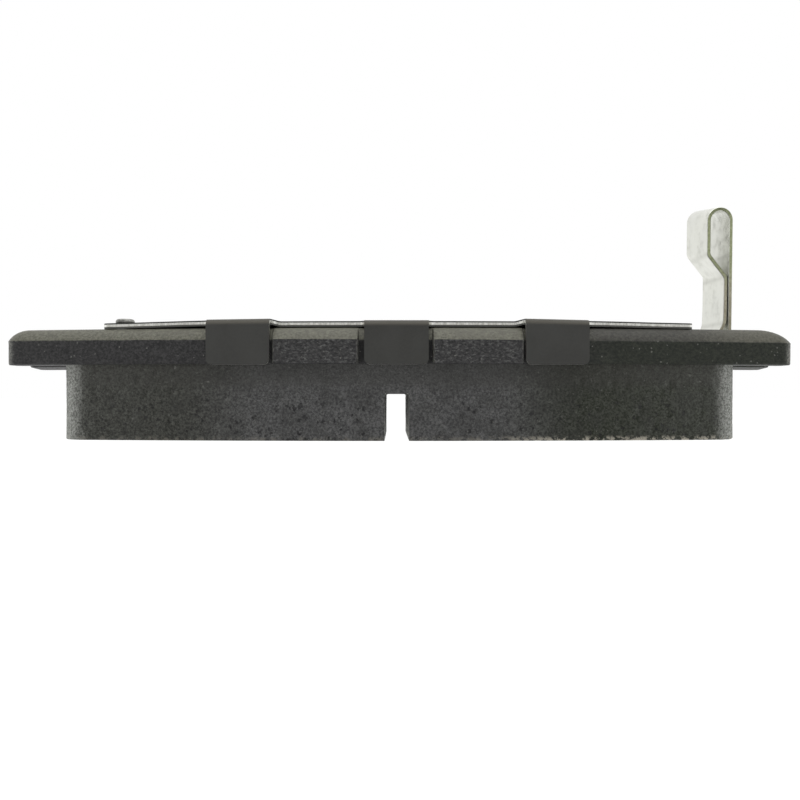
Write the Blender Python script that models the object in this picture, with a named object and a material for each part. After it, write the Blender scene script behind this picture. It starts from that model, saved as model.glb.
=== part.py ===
"""Disc brake pad with a clip-on noise shim and a spring wear indicator.

The friction face is at z = 0, the outer edge of the pad faces -Y and the wear indicator is at +X.
Lengths below are in millimetres and are turned into metres when a mesh is made.
"""
import math

import bpy
from mathutils import Matrix, Vector

MM = 0.001

# Backing plate
PLATE_BOTTOM = 11.95
PLATE_TOP = 17.65
SHOULDER_HALF_WIDTH = 63.5
SHOULDER_CORNER = 2.0
SHOULDER_BACK_Y = -20.6
NOTCH_X = 56.0
EAR_FRONT = (64.2, -14.3)
EAR_BACK = (68.9, 2.3)
BODY_HALF_WIDTH = 59.0
OUTER_EDGE_Y = -26.3
INNER_EDGE_Y = 19.765
INNER_CORNER_X = 50.0
INNER_EDGE_RADIUS = 300.0
TAPER_START_Y = 13.0
EDGE_BOW_RADIUS = 315.0
ROLL_DROP_LEFT = 1.85
ROLL_DROP_RIGHT = 2.2
ROLL_WIDTH = 2.6
ROLL_STRIP_X = 50.0
ROLL_SQUEEZE_LEFT = 0.26
ROLL_SQUEEZE_RIGHT = 0.42
ROLL_SQUEEZE_INNER = 0.2
EAR_ROLL = 1.0
ROLL_STEPS = 6
LUG_DEPTH = 1.2
LUG_SLANT = 0.25
LUGS = ((-19.45, -6.5), (5.3, 19.0))
LUG_TOP_INSET = 1.1

# Friction material, moulded through holes in the plate
FACE_Z = 0.0
BLOCK_TOP = 9.85
LAYER_GAP = 0.05
BLOCK_HALF_WIDTH = 54.4
BLOCK_SETBACK = 0.4
BLOCK_CORNER = 4.5
BLOCK_INSET = 1.2
SLOT_X = -0.42
SLOT_WIDTH = 3.8
SLOT_SKEW = 0.0063
SLOT_HEIGHT = 7.4
SLOT_ROUNDING = 0.35
RETENTION_HOLES = ((-37.0, 3.0), (-16.5, -1.0), (16.5, -1.0), (37.0, 3.0))
RETENTION_RADIUS = 4.5
RETENTION_GAP = 0.3

# Shim: a steel sheet with a rubber layer on each side, folded over both edges of the plate
SHIM_LEFT = -47.4
SHIM_RIGHT = 46.95
SHIM_CLEARANCE = 0.1
SHIM_CROWN = 0.1
CROWN_FLAT_X = 30.0
CROWN_RUN = 15.0
STEEL_THICKNESS = 0.38
RUBBER_THICKNESS = 0.19
SKIN_GAP = 0.02
SHIM_SETBACK = 1.9
SHIM_CHAMFER_X = 40.0
SHIM_CHAMFER_SLOPE = 1.7
TAB_WIDTH = 9.9
OUTER_TABS = (-25.0, -0.46, 24.4)
TAB_LIFTS = (0.28, 0.0, 0.28)
WING_SHARES = (0.7, 0.0, 0.4)
LIFT_RUN = 1.6
INNER_TABS = (-20.0, 20.0)
TAB_CLEARANCE = 0.12
TAB_BEND = 0.8
TAB_BOTTOM = 11.8
TAB_CORNER = 0.9
RELIEF_RADIUS = 1.0

# Eyelet that clinches the shim's layers
EYELET_X = -44.28
EYELET_Y = -19.1
EYELET_HOLE_RADIUS = 1.15
EYELET_RECESS_RADIUS = 2.2
EYELET_RECESS_DEPTH = 0.55

# Wear indicator: one spring strip with a riveted foot, a hairpin loop and a feeler leg
STRIP_THICKNESS = 0.71
STRIP_WIDTH = 10.7
STRIP_LEAN = math.radians(7.2)
STRIP_YAW = math.radians(3.7)
STRIP_NEAR_Y = 10.5
FOOT_END_X = 50.2
FOOT_BEND = 3.86
FOOT_CORNER = 2.7
LEG_X = 62.78
LEG_TOP = (62.53, 29.81)
KINK_HIGH = (58.97, 33.94)
KINK_RADIUS = 1.2
LOOP_CENTRE = (60.88, 40.38)
LOOP_RADIUS = 2.156
TIP = (64.25, 9.8)
TIP_CORNER = 1.6
SPLIT_GAP = 0.12
WEAR_RIVET_X = 54.4
WEAR_HOLE_RADIUS = 2.1
WEAR_SHANK_RADIUS = 1.8
WEAR_TAIL_RADIUS = 2.8
WEAR_TAIL_DEPTH = 1.3

COLOURS = {
    "backing_plate": ((0.075, 0.072, 0.062), 0.55, 0.2),
    "underlayer": ((0.085, 0.080, 0.068), 0.9, 0.0),
    "friction_block": ((0.070, 0.072, 0.072), 0.92, 0.0),
    "shim_outer_rubber": ((0.045, 0.045, 0.040), 0.5, 0.0),
    "shim_core": ((0.62, 0.62, 0.58), 0.35, 1.0),
    "shim_inner_rubber": ((0.040, 0.040, 0.036), 0.6, 0.0),
    "shim_eyelet": ((0.22, 0.22, 0.21), 0.4, 1.0),
    "wear_indicator_strip": ((0.72, 0.72, 0.66), 0.3, 1.0),
    "wear_indicator_feeler": ((0.72, 0.72, 0.66), 0.3, 1.0),
    "wear_indicator_rivet": ((0.45, 0.45, 0.43), 0.35, 1.0),
}


def smoothstep(t):
    t = min(max(t, 0.0), 1.0)
    return t * t * (3.0 - 2.0 * t)


def clear_scene():
    for old in list(bpy.data.objects):
        bpy.data.objects.remove(old, do_unlink=True)


def material_for(name):
    colour, roughness, metallic = COLOURS[name]
    material = bpy.data.materials.new(name)
    material.use_nodes = True
    shader = material.node_tree.nodes["Principled BSDF"]
    shader.inputs["Base Color"].default_value = (*colour, 1.0)
    shader.inputs["Roughness"].default_value = roughness
    shader.inputs["Metallic"].default_value = metallic
    return material


def add_object(name, points, faces, origin=(0.0, 0.0, 0.0), smooth=30.0):
    """Makes a mesh object from points in millimetres, with its origin at the given point."""
    centre = Vector(origin)
    mesh = bpy.data.meshes.new(name)
    mesh.from_pydata([(Vector(p) - centre) * MM for p in points], [], faces)
    mesh.update()
    mesh.shade_smooth()
    mesh.set_sharp_from_angle(angle=math.radians(smooth))
    item = bpy.data.objects.new(name, mesh)
    item.location = centre * MM
    bpy.context.scene.collection.objects.link(item)
    if name in COLOURS:
        mesh.materials.append(material_for(name))
    return item


def as_tool(item):
    """Marks an object as a cutter or an addition that is only used by modifiers."""
    item.hide_render = True
    item.display_type = "WIRE"
    return item


def combine(item, tool, operation):
    modifier = item.modifiers.new(operation.lower(), "BOOLEAN")
    modifier.operation = operation
    modifier.object = as_tool(tool)


# Outlines

def arc(centre_x, centre_y, radius, start, end, steps):
    """Points on an arc, angles in degrees."""
    turns = [math.radians(start + (end - start) * i / steps) for i in range(steps + 1)]
    return [(centre_x + radius * math.cos(a), centre_y + radius * math.sin(a)) for a in turns]


def filleted(corners, steps=5):
    """Rounds each (x, y, radius) corner of a closed polygon; radius 0 keeps the point."""
    points = []
    count = len(corners)
    for i, (x, y, radius) in enumerate(corners):
        if radius == 0.0:
            points.append((x, y))
            continue
        here = Vector((x, y))
        back = (Vector(corners[i - 1][:2]) - here).normalized()
        ahead = (Vector(corners[(i + 1) % count][:2]) - here).normalized()
        half = back.angle(ahead) / 2.0
        centre = here + (back + ahead).normalized() * (radius / math.sin(half))
        first = here + back * (radius / math.tan(half)) - centre
        last = here + ahead * (radius / math.tan(half)) - centre
        turn = first.angle_signed(last)
        for k in range(steps + 1):
            spoke = first.copy()
            spoke.rotate(Matrix.Rotation(-turn * k / steps, 2))
            points.append(tuple(centre + spoke))
    return points


def inner_edge(x, inset=0.0):
    """The pad's inner edge, concave like the rotor's inner radius."""
    return INNER_EDGE_Y - inset + x * x / (2.0 * INNER_EDGE_RADIUS)


def inner_points(half_width, inset, steps=16):
    """Points along the inner edge, from +X to -X, without its two corners."""
    stations = [half_width * (1.0 - 2.0 * i / steps) for i in range(1, steps)]
    return [(x, inner_edge(x, inset), 0.0) for x in stations]


def straight_points(x_start, x_end, y, steps):
    """Points between two ends of a straight edge, which the bow turns into an arc."""
    return [(x_start + (x_end - x_start) * i / steps, y, 0.0) for i in range(1, steps)]


def bowed(point):
    """Bends the pad slightly, so that the middle of its outer edge stands furthest out."""
    x, y, z = point
    return (x, y + x * x / (2.0 * EDGE_BOW_RADIUS), z)


def plate_corners():
    """The plate's outline: lugs between the shim tabs, and a shoulder, a notch and an ear at each end."""
    lug_y = OUTER_EDGE_Y - LUG_DEPTH
    corners = [(-SHOULDER_HALF_WIDTH, OUTER_EDGE_Y, SHOULDER_CORNER)]
    start = -SHOULDER_HALF_WIDTH
    for left, right in LUGS:
        corners += straight_points(start, left, OUTER_EDGE_Y, 5)
        corners += [(left - LUG_SLANT, OUTER_EDGE_Y, 0.0), (left, lug_y, 0.4)]
        corners += straight_points(left, right, lug_y, 3)
        corners += [(right, lug_y, 0.4), (right + LUG_SLANT, OUTER_EDGE_Y, 0.0)]
        start = right
    corners += straight_points(start, SHOULDER_HALF_WIDTH, OUTER_EDGE_Y, 5)
    side = [(SHOULDER_HALF_WIDTH, SHOULDER_BACK_Y, 1.2), (NOTCH_X, SHOULDER_BACK_Y, 1.0),
            (NOTCH_X, EAR_FRONT[1], 1.0), (*EAR_FRONT, 1.2), (*EAR_BACK, 1.5),
            (BODY_HALF_WIDTH, EAR_BACK[1], 1.5), (BODY_HALF_WIDTH, TAPER_START_Y, 4.0),
            (INNER_CORNER_X, inner_edge(INNER_CORNER_X), 3.5)]
    corners += [(SHOULDER_HALF_WIDTH, OUTER_EDGE_Y, SHOULDER_CORNER)] + side
    corners += inner_points(INNER_CORNER_X, 0.0)
    corners += [(-x, y, radius) for x, y, radius in reversed(side)]
    return corners


def rolled(x, y, amount):
    """Moves an outline point inwards as the stamped edge rolls over; amount goes from 0 to 1."""
    side = math.copysign(1.0, x)
    new_x = x
    squeeze = ROLL_SQUEEZE_LEFT if x < 0.0 else ROLL_SQUEEZE_RIGHT
    if abs(x) > ROLL_STRIP_X:
        new_x = side * (ROLL_STRIP_X + (abs(x) - ROLL_STRIP_X) * (1.0 - squeeze * amount))
    for left, right in LUGS:
        if left - 0.01 <= x <= right + 0.01 and y < OUTER_EDGE_Y - LUG_DEPTH / 2.0:
            middle = (left + right) / 2.0
            new_x = x - (x - middle) / ((right - left) / 2.0) * LUG_TOP_INSET * amount
    inner_line = OUTER_EDGE_Y + ROLL_WIDTH
    if y < inner_line:
        return new_x, inner_line + (y - inner_line) * (1.0 - amount)
    if y > TAPER_START_Y:
        return new_x, TAPER_START_Y + (y - TAPER_START_Y) * (1.0 - ROLL_SQUEEZE_INNER * amount)
    for wall_y, inwards in ((SHOULDER_BACK_Y, -1.0), (EAR_FRONT[1], 1.0), (EAR_BACK[1], -1.0)):
        if abs(x) > NOTCH_X - 0.01 and abs(y - wall_y) < 2.0:
            return new_x, y + inwards * EAR_ROLL * amount
    return new_x, y


def plate_ring(outline, roll):
    """One closed ring of the plate's edge; roll is the angle in degrees from the wall to the top."""
    angle = math.radians(roll)
    ring = []
    for x, y in outline:
        share = (x + SHOULDER_HALF_WIDTH) / (2.0 * SHOULDER_HALF_WIDTH)
        drop = ROLL_DROP_LEFT + (ROLL_DROP_RIGHT - ROLL_DROP_LEFT) * share
        new_x, new_y = rolled(x, y, 1.0 - math.cos(angle))
        ring.append((new_x, new_y, PLATE_TOP - drop * (1.0 - math.sin(angle))))
    return ring


# Solids

def stacked(rings):
    """A solid skinned over closed rings of equal length, lowest first, with flat caps."""
    count = len(rings[0])
    points = [point for ring in rings for point in ring]
    faces = [tuple(reversed(range(count)))]
    for level in range(len(rings) - 1):
        low = level * count
        for i in range(count):
            j = (i + 1) % count
            faces.append((low + i, low + j, low + count + j, low + count + i))
    top = (len(rings) - 1) * count
    faces.append(tuple(top + i for i in range(count)))
    return points, faces


def turned(profile, centre, segments=32):
    """A closed (radius, z) loop, listed anticlockwise in the r-z plane, turned about a vertical axis."""
    count = len(profile)
    points = []
    for s in range(segments):
        angle = 2.0 * math.pi * s / segments
        for radius, z in profile:
            points.append((centre[0] + radius * math.cos(angle),
                           centre[1] + radius * math.sin(angle), z))
    faces = []
    for s in range(segments):
        now = s * count
        after = ((s + 1) % segments) * count
        for i in range(count):
            j = (i + 1) % count
            faces.append((now + i, after + i, after + j, now + j))
    return points, faces


def spun(profile, centre, segments=32):
    """A (radius, z) line from the bottom to the top, closed by flat caps at both ends."""
    rings = []
    for radius, z in profile:
        rings.append([(x, y, z) for x, y in arc(centre[0], centre[1], radius, 0.0, 360.0, segments)[:-1]])
    return stacked(rings)


def cylinder(name, centre, radius, bottom, top, segments=28):
    points, faces = spun([(radius, bottom), (radius, top)], centre, segments)
    return add_object(name, points, faces)


# Backing plate

def build_backing_plate():
    outline = filleted(plate_corners())
    rings = [[(x, y, PLATE_BOTTOM) for x, y in outline]]
    rings += [plate_ring(outline, 90.0 * i / ROLL_STEPS) for i in range(ROLL_STEPS + 1)]
    points, faces = stacked([[bowed(point) for point in ring] for ring in rings])
    plate = add_object("backing_plate", points, faces)
    for i, centre in enumerate(RETENTION_HOLES):
        hole = cylinder(f"retention_cut_{i}", centre, RETENTION_RADIUS, PLATE_BOTTOM - 1.0, PLATE_TOP + 1.0)
        combine(plate, hole, "DIFFERENCE")
    recess = cylinder("eyelet_recess_cut", (EYELET_X, EYELET_Y), EYELET_RECESS_RADIUS,
                      PLATE_TOP - EYELET_RECESS_DEPTH, PLATE_TOP + 1.0)
    combine(plate, recess, "DIFFERENCE")
    hole_line = [(WEAR_TAIL_RADIUS + 0.3, PLATE_BOTTOM - 1.0),
                 (WEAR_TAIL_RADIUS + 0.3, PLATE_BOTTOM + WEAR_TAIL_DEPTH),
                 (WEAR_HOLE_RADIUS, PLATE_BOTTOM + WEAR_TAIL_DEPTH + 0.4),
                 (WEAR_HOLE_RADIUS, PLATE_TOP + 1.0)]
    points, faces = spun(hole_line, wear_rivet_centre())
    combine(plate, add_object("wear_rivet_cut", points, faces), "DIFFERENCE")
    return plate


# Friction material

def block_outline():
    outer_y = OUTER_EDGE_Y + BLOCK_SETBACK
    half = BLOCK_HALF_WIDTH
    corner_x = INNER_CORNER_X - BLOCK_INSET
    side = [(half, outer_y, BLOCK_CORNER), (half, TAPER_START_Y - BLOCK_INSET, 4.0),
            (corner_x, inner_edge(corner_x, BLOCK_INSET), 3.0)]
    corners = straight_points(-half, half, outer_y, 16) + side + inner_points(corner_x, BLOCK_INSET)
    corners += [(-x, y, radius) for x, y, radius in reversed(side)]
    return filleted(corners)


def layer_solid(name, bottom, top):
    outline = block_outline()
    rings = [[bowed((x, y, z)) for x, y in outline] for z in (bottom, top)]
    points, faces = stacked(rings)
    return add_object(name, points, faces)


def build_underlayer():
    layer = layer_solid("underlayer", BLOCK_TOP + LAYER_GAP, PLATE_BOTTOM - LAYER_GAP)
    for i, centre in enumerate(RETENTION_HOLES):
        peg = cylinder(f"retention_peg_{i}", centre, RETENTION_RADIUS - RETENTION_GAP,
                       PLATE_BOTTOM - 1.0, PLATE_TOP - RETENTION_GAP)
        combine(layer, peg, "UNION")
    return layer


def build_friction_block():
    block = layer_solid("friction_block", FACE_Z, BLOCK_TOP)
    half = SLOT_WIDTH / 2.0
    section = arc(SLOT_X + half - SLOT_ROUNDING, SLOT_HEIGHT - SLOT_ROUNDING, SLOT_ROUNDING, 0.0, 90.0, 4)
    section += arc(SLOT_X - half + SLOT_ROUNDING, SLOT_HEIGHT - SLOT_ROUNDING, SLOT_ROUNDING, 90.0, 180.0, 4)
    section += [(SLOT_X - half, FACE_Z - 2.0), (SLOT_X + half, FACE_Z - 2.0)]
    rings = [[(x - (y - OUTER_EDGE_Y) * SLOT_SKEW, y, z) for x, z in section] for y in (40.0, -40.0)]
    points, faces = stacked(rings)
    combine(block, add_object("slot_cut", points, faces), "DIFFERENCE")
    return block


# Shim

def shim_thickness():
    return STEEL_THICKNESS + 2.0 * (SKIN_GAP + RUBBER_THICKNESS)


def shim_middle(x):
    """Height of the steel sheet's middle surface, slightly crowned by its folded tabs."""
    crown = SHIM_CROWN * (1.0 - smoothstep((abs(x) - CROWN_FLAT_X) / CROWN_RUN))
    return PLATE_TOP + SHIM_CLEARANCE + shim_thickness() / 2.0 + crown


def edge_lift(x):
    """Height by which the folded tabs' springback lifts the sheet's outer edge."""
    lift = 0.0
    half = TAB_WIDTH / 2.0
    for middle, height, share in zip(OUTER_TABS, TAB_LIFTS, WING_SHARES):
        along = (x - middle) * math.copysign(1.0, middle)
        wing = abs((SHIM_LEFT if middle < 0.0 else SHIM_RIGHT) - middle) - half
        if along < -half:
            lift += height * (1.0 - smoothstep((-half - along) / LIFT_RUN))
        elif along < half:
            lift += height * (1.0 - (1.0 - share) * (along + half) / TAB_WIDTH)
        else:
            lift += height * share * (1.0 - (along - half) / wing)
    return lift


def tab_span(middle):
    return middle - TAB_WIDTH / 2.0, middle + TAB_WIDTH / 2.0


def shim_stations():
    """X positions of the sheet's columns: along the free edges, the relief cuts and the tabs."""
    stations = {round(SHIM_LEFT, 3), round(SHIM_RIGHT, 3)}
    for run in (0.15, 0.5, 1.0):
        stations |= {round(SHIM_LEFT + run, 3), round(SHIM_RIGHT - run, 3)}
    steps = 24
    for i in range(1, steps):
        x = SHIM_LEFT + (SHIM_RIGHT - SHIM_LEFT) * i / steps
        near_tab = any(abs(x - m) < TAB_WIDTH / 2.0 + 1.5 for m in OUTER_TABS + INNER_TABS)
        if not near_tab:
            stations.add(round(x, 3))
    for middle in OUTER_TABS + INNER_TABS:
        left, right = tab_span(middle)
        for run in (0.0, 0.06, 0.26, 0.55, TAB_CORNER, 2.6):
            stations |= {round(left + run, 3), round(right - run, 3)}
        for run in (0.06, 0.25, 0.55, RELIEF_RADIUS, LIFT_RUN):
            stations |= {round(left - run, 3), round(right + run, 3)}
    return sorted(stations)


def tab_at(x, tabs):
    """The middle of the tab that holds this column, or None."""
    for middle in tabs:
        left, right = tab_span(middle)
        if left - 0.002 <= x <= right + 0.002:
            return middle
    return None


def relief(x, tabs):
    """How far the free edge comes forward beside a tab, along a quarter circle."""
    beside = min(max(abs(x - m) - TAB_WIDTH / 2.0, 0.0) for m in tabs)
    if beside >= RELIEF_RADIUS:
        return 0.0
    return 1.0 - math.sqrt(1.0 - (1.0 - beside / RELIEF_RADIUS) ** 2)


def end_corner(x):
    """Setback of the free edge at the sheet's two rounded ends."""
    from_end = min(x - SHIM_LEFT, SHIM_RIGHT - x)
    return 1.0 - math.sqrt(max(1.0 - (1.0 - min(from_end, 1.0)) ** 2, 0.0))


def bend_start():
    """Distance from the plate's edge in to the start of a tab's bend."""
    return TAB_BEND - TAB_CLEARANCE - shim_thickness() / 2.0


def tab_rows(x, middle, edge_y, side, top):
    """Points and normals down a folded tab, from the end of its bend to its rounded bottom edge."""
    start_y = edge_y - side * bend_start()
    rows = []
    bend_steps = 5
    for k in range(1, bend_steps + 1):
        angle = math.radians(90.0 * k / bend_steps)
        rows.append((start_y + side * TAB_BEND * math.sin(angle),
                     top - TAB_BEND * (1.0 - math.cos(angle)),
                     (0.0, side * math.sin(angle), math.cos(angle))))
    from_side = TAB_WIDTH / 2.0 - abs(x - middle)
    lift = 0.0
    if from_side < TAB_CORNER:
        lift = TAB_CORNER - math.sqrt(max(TAB_CORNER ** 2 - (TAB_CORNER - from_side) ** 2, 0.0))
    rows.append((start_y + side * TAB_BEND, TAB_BOTTOM + lift, (0.0, side, 0.0)))
    return rows


def shim_column(x):
    """The sheet's cross-section at x, from the end of an outer tab to the end of an inner one."""
    outer_tab = tab_at(x, OUTER_TABS)
    inner_tab = tab_at(x, INNER_TABS)
    rows = {}
    start = OUTER_EDGE_Y + bend_start()
    free = OUTER_EDGE_Y + SHIM_SETBACK
    near_y = start
    if outer_tab is None:
        near_y = free + (start - free) * relief(x, OUTER_TABS) + end_corner(x)
    else:
        for k, row in enumerate(tab_rows(x, outer_tab, OUTER_EDGE_Y, -1.0, shim_middle(x) + edge_lift(x))):
            rows[-1 - k] = row
    rows[0] = (near_y, shim_middle(x) + edge_lift(x), (0.0, 0.0, 1.0))
    edge = inner_edge(x)
    start = edge - bend_start()
    chamfer = inner_edge(SHIM_CHAMFER_X) - (abs(x) - SHIM_CHAMFER_X) * SHIM_CHAMFER_SLOPE
    free = min(edge - SHIM_SETBACK, chamfer)
    far_y = start
    if inner_tab is None:
        far_y = free + (start - free) * relief(x, INNER_TABS) - end_corner(x)
    else:
        for k, row in enumerate(tab_rows(x, inner_tab, edge, 1.0, shim_middle(x))):
            rows[2 + k] = row
    rows[1] = (far_y, shim_middle(x), (0.0, 0.0, 1.0))
    return rows


def sheet_between(lower, upper):
    """A closed solid that follows the shim's middle surface between two offsets."""
    stations = shim_stations()
    points = []
    index = {}
    for column, x in enumerate(stations):
        for row, (y, z, normal) in shim_column(x).items():
            for skin, offset in enumerate((lower, upper)):
                index[column, row, skin] = len(points)
                moved = Vector((x, y, z)) + Vector(normal) * offset
                points.append(bowed(tuple(moved)))
    quads = []
    for column in range(len(stations) - 1):
        same_tab = {-1: False, 1: False}
        for side, tabs in ((-1, OUTER_TABS), (1, INNER_TABS)):
            here = tab_at(stations[column], tabs)
            same_tab[side] = here is not None and here == tab_at(stations[column + 1], tabs)
        first = -6 if same_tab[-1] else 0
        last = 7 if same_tab[1] else 1
        quads += [((column, row), (column + 1, row), (column + 1, row + 1), (column, row + 1))
                  for row in range(first, last)]
    faces = []
    borders = {}
    for quad in quads:
        for corner in ((0, 1, 2), (0, 2, 3)):
            faces.append(tuple(index[*quad[i], 1] for i in corner))
            faces.append(tuple(index[*quad[i], 0] for i in reversed(corner)))
        for i in range(4):
            edge = (quad[i], quad[(i + 1) % 4])
            if (edge[1], edge[0]) in borders:
                del borders[edge[1], edge[0]]
            else:
                borders[edge] = True
    for a, b in borders:
        faces.append((index[*a, 0], index[*b, 0], index[*b, 1], index[*a, 1]))
    return points, faces


def build_shim():
    half = STEEL_THICKNESS / 2.0
    skins = {
        "shim_core": (-half, half),
        "shim_outer_rubber": (half + SKIN_GAP, half + SKIN_GAP + RUBBER_THICKNESS),
        "shim_inner_rubber": (-half - SKIN_GAP - RUBBER_THICKNESS, -half - SKIN_GAP),
    }
    for name, (lower, upper) in skins.items():
        points, faces = sheet_between(lower, upper)
        sheet = add_object(name, points, faces)
        hole = cylinder(f"{name}_eyelet_cut", (EYELET_X, EYELET_Y), EYELET_HOLE_RADIUS,
                        PLATE_TOP - 1.0, PLATE_TOP + 4.0, 20)
        combine(sheet, hole, "DIFFERENCE")


def build_shim_eyelet():
    """A tubular rivet through the three layers, with a rolled rim on top and a flat foot below."""
    middle = shim_middle(EYELET_X)
    bottom = middle - shim_thickness() / 2.0 - 0.05
    rim = middle + shim_thickness() / 2.0 + 0.05
    outer = EYELET_HOLE_RADIUS - 0.1
    bore = 0.55
    profile = [(bore, bottom - 0.4), (1.8, bottom - 0.4), (1.8, bottom), (outer, bottom), (outer, rim),
               (1.45, rim)]
    profile += arc(1.05, rim + 0.3, 0.45, -20.0, 90.0, 5)
    profile += [(0.72, rim + 0.62), (bore, rim + 0.4)]
    points, faces = turned(profile, (EYELET_X, EYELET_Y), 28)
    return add_object("shim_eyelet", points, faces)


# Wear indicator

def yawed(point):
    """Turns a point about the vertical line at the foot of the leg, as the strip was riveted."""
    pivot = Vector((LEG_X, STRIP_NEAR_Y, 0.0))
    turned_point = Vector(point) - pivot
    turned_point.rotate(Matrix.Rotation(STRIP_YAW, 3, "Z"))
    return turned_point + pivot


def leg_base_z():
    return PLATE_TOP + LAYER_GAP + STRIP_THICKNESS / 2.0 + FOOT_BEND


def upright_line(x, z):
    """The strip's two edge points at (x, z) on its leaning part."""
    rise = z - leg_base_z()
    near = Vector((x, STRIP_NEAR_Y - rise * math.tan(STRIP_LEAN), z))
    far = near + Vector((0.0, math.cos(STRIP_LEAN), math.sin(STRIP_LEAN))) * STRIP_WIDTH
    return near, far


def foot_line(x, z, run):
    """The strip's two edge points on its foot and bend; run is the path length below the leg."""
    near = Vector((x, STRIP_NEAR_Y + run * math.tan(STRIP_LEAN), z))
    far = near + Vector((0.0, STRIP_WIDTH / math.cos(STRIP_LEAN), 0.0))
    return near, far


def rounded_end(line, from_end, radius):
    """Draws the two edge points together near a rounded end."""
    if from_end >= radius:
        return line
    inset = radius - math.sqrt(max(radius ** 2 - (radius - from_end) ** 2, 0.0))
    near, far = line
    step = (far - near).normalized() * inset
    return near + step, far - step


def strip_solid(lines, normals):
    """A strip skinned over edge-point pairs on its middle surface, offset both ways along normals."""
    rings = []
    half = STRIP_THICKNESS / 2.0
    for (near, far), normal in zip(lines, normals):
        shift = Vector(normal).normalized() * half
        ring = [near - shift, near + shift, far + shift, far - shift]
        rings.append([tuple(yawed(point)) for point in ring])
    points, faces = stacked(rings)
    return points, faces


def path_normals(path):
    """Unit normals of an x-z path, to the right of its direction, mitred at each point."""
    normals = []
    for i in range(len(path)):
        a = Vector(path[max(i - 1, 0)])
        b = Vector(path[min(i + 1, len(path) - 1)])
        along = b - a
        normals.append((along.y, 0.0, -along.x))
    return normals


def rounded_path(path, radius, steps=4):
    """Rounds the inner corners of an open x-z path."""
    points = [path[0]]
    for back, here, ahead in zip(path, path[1:], path[2:]):
        corner = Vector(here)
        to_back = (Vector(back) - corner).normalized()
        to_ahead = (Vector(ahead) - corner).normalized()
        half = to_back.angle(to_ahead) / 2.0
        reach = radius / math.tan(half)
        for k in range(steps + 1):
            t = k / steps
            a = corner + to_back * reach * (1.0 - t) ** 2
            points.append(tuple(a + to_ahead * reach * t ** 2))
    points.append(path[-1])
    return points


def hinge_path_point():
    """Where the loop runs into the feeler leg: the spring flexes about this line."""
    return LOOP_CENTRE[0] + LOOP_RADIUS, LOOP_CENTRE[1]


def build_wear_indicator_strip():
    foot_z = PLATE_TOP + LAYER_GAP + STRIP_THICKNESS / 2.0
    bend_x = LEG_X - FOOT_BEND
    bend_run = FOOT_BEND * math.pi / 2.0
    lines = []
    path = []
    foot_length = bend_x - FOOT_END_X
    for from_end in (0.05, 0.35, 0.9, 1.6, FOOT_CORNER):
        x = FOOT_END_X + from_end
        line = foot_line(x, foot_z, bend_run + foot_length - from_end)
        lines.append(rounded_end(line, from_end, FOOT_CORNER))
        path.append((x, foot_z))
    bend_steps = 8
    for k in range(bend_steps + 1):
        angle = math.radians(90.0 * k / bend_steps)
        x = bend_x + FOOT_BEND * math.sin(angle)
        z = foot_z + FOOT_BEND * (1.0 - math.cos(angle))
        lines.append(foot_line(x, z, bend_run * (1.0 - k / bend_steps)))
        path.append((x, z))
    wall_x = LOOP_CENTRE[0] - LOOP_RADIUS
    leg_foot = (LEG_X - 0.03, leg_base_z() + 2.0)
    upright = rounded_path([leg_foot, LEG_TOP, KINK_HIGH, (wall_x, LOOP_CENTRE[1])], KINK_RADIUS)
    loop = [(x, z) for x, z in arc(*LOOP_CENTRE, LOOP_RADIUS, 180.0, 0.0, 16)]
    upright += loop[1:-1]
    hinge_x, hinge_z = hinge_path_point()
    upright.append((hinge_x, hinge_z + SPLIT_GAP / 2.0))
    lines += [upright_line(x, z) for x, z in upright]
    path += upright
    points, faces = strip_solid(lines, path_normals(path))
    strip = add_object("wear_indicator_strip", points, faces)
    hole = cylinder("foot_hole_cut", wear_rivet_centre(), WEAR_HOLE_RADIUS, PLATE_TOP - 1.0, PLATE_TOP + 3.0)
    combine(strip, hole, "DIFFERENCE")
    return strip


def build_wear_indicator_feeler():
    """The feeler leg, with its origin on the line that it flexes about."""
    hinge_x, hinge_z = hinge_path_point()
    top_z = hinge_z - SPLIT_GAP / 2.0
    path = [(hinge_x, top_z)]
    length = top_z - TIP[1]
    for from_end in (length / 2.0, TIP_CORNER, 0.9, 0.45, 0.15, 0.02):
        share = 1.0 - from_end / length
        path.append((hinge_x + (TIP[0] - hinge_x) * share, TIP[1] + from_end))
    lines = []
    for x, z in path:
        lines.append(rounded_end(upright_line(x, z), z - TIP[1], TIP_CORNER))
    points, faces = strip_solid(lines, path_normals(path))
    near, far = upright_line(hinge_x, hinge_z)
    return add_object("wear_indicator_feeler", points, faces, origin=yawed((near + far) / 2.0))


def wear_rivet_centre():
    foot_run = FOOT_BEND * math.pi / 2.0 + LEG_X - FOOT_BEND - WEAR_RIVET_X
    near, far = foot_line(WEAR_RIVET_X, 0.0, foot_run)
    centre = yawed((near + far) / 2.0)
    return centre.x, centre.y


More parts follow.
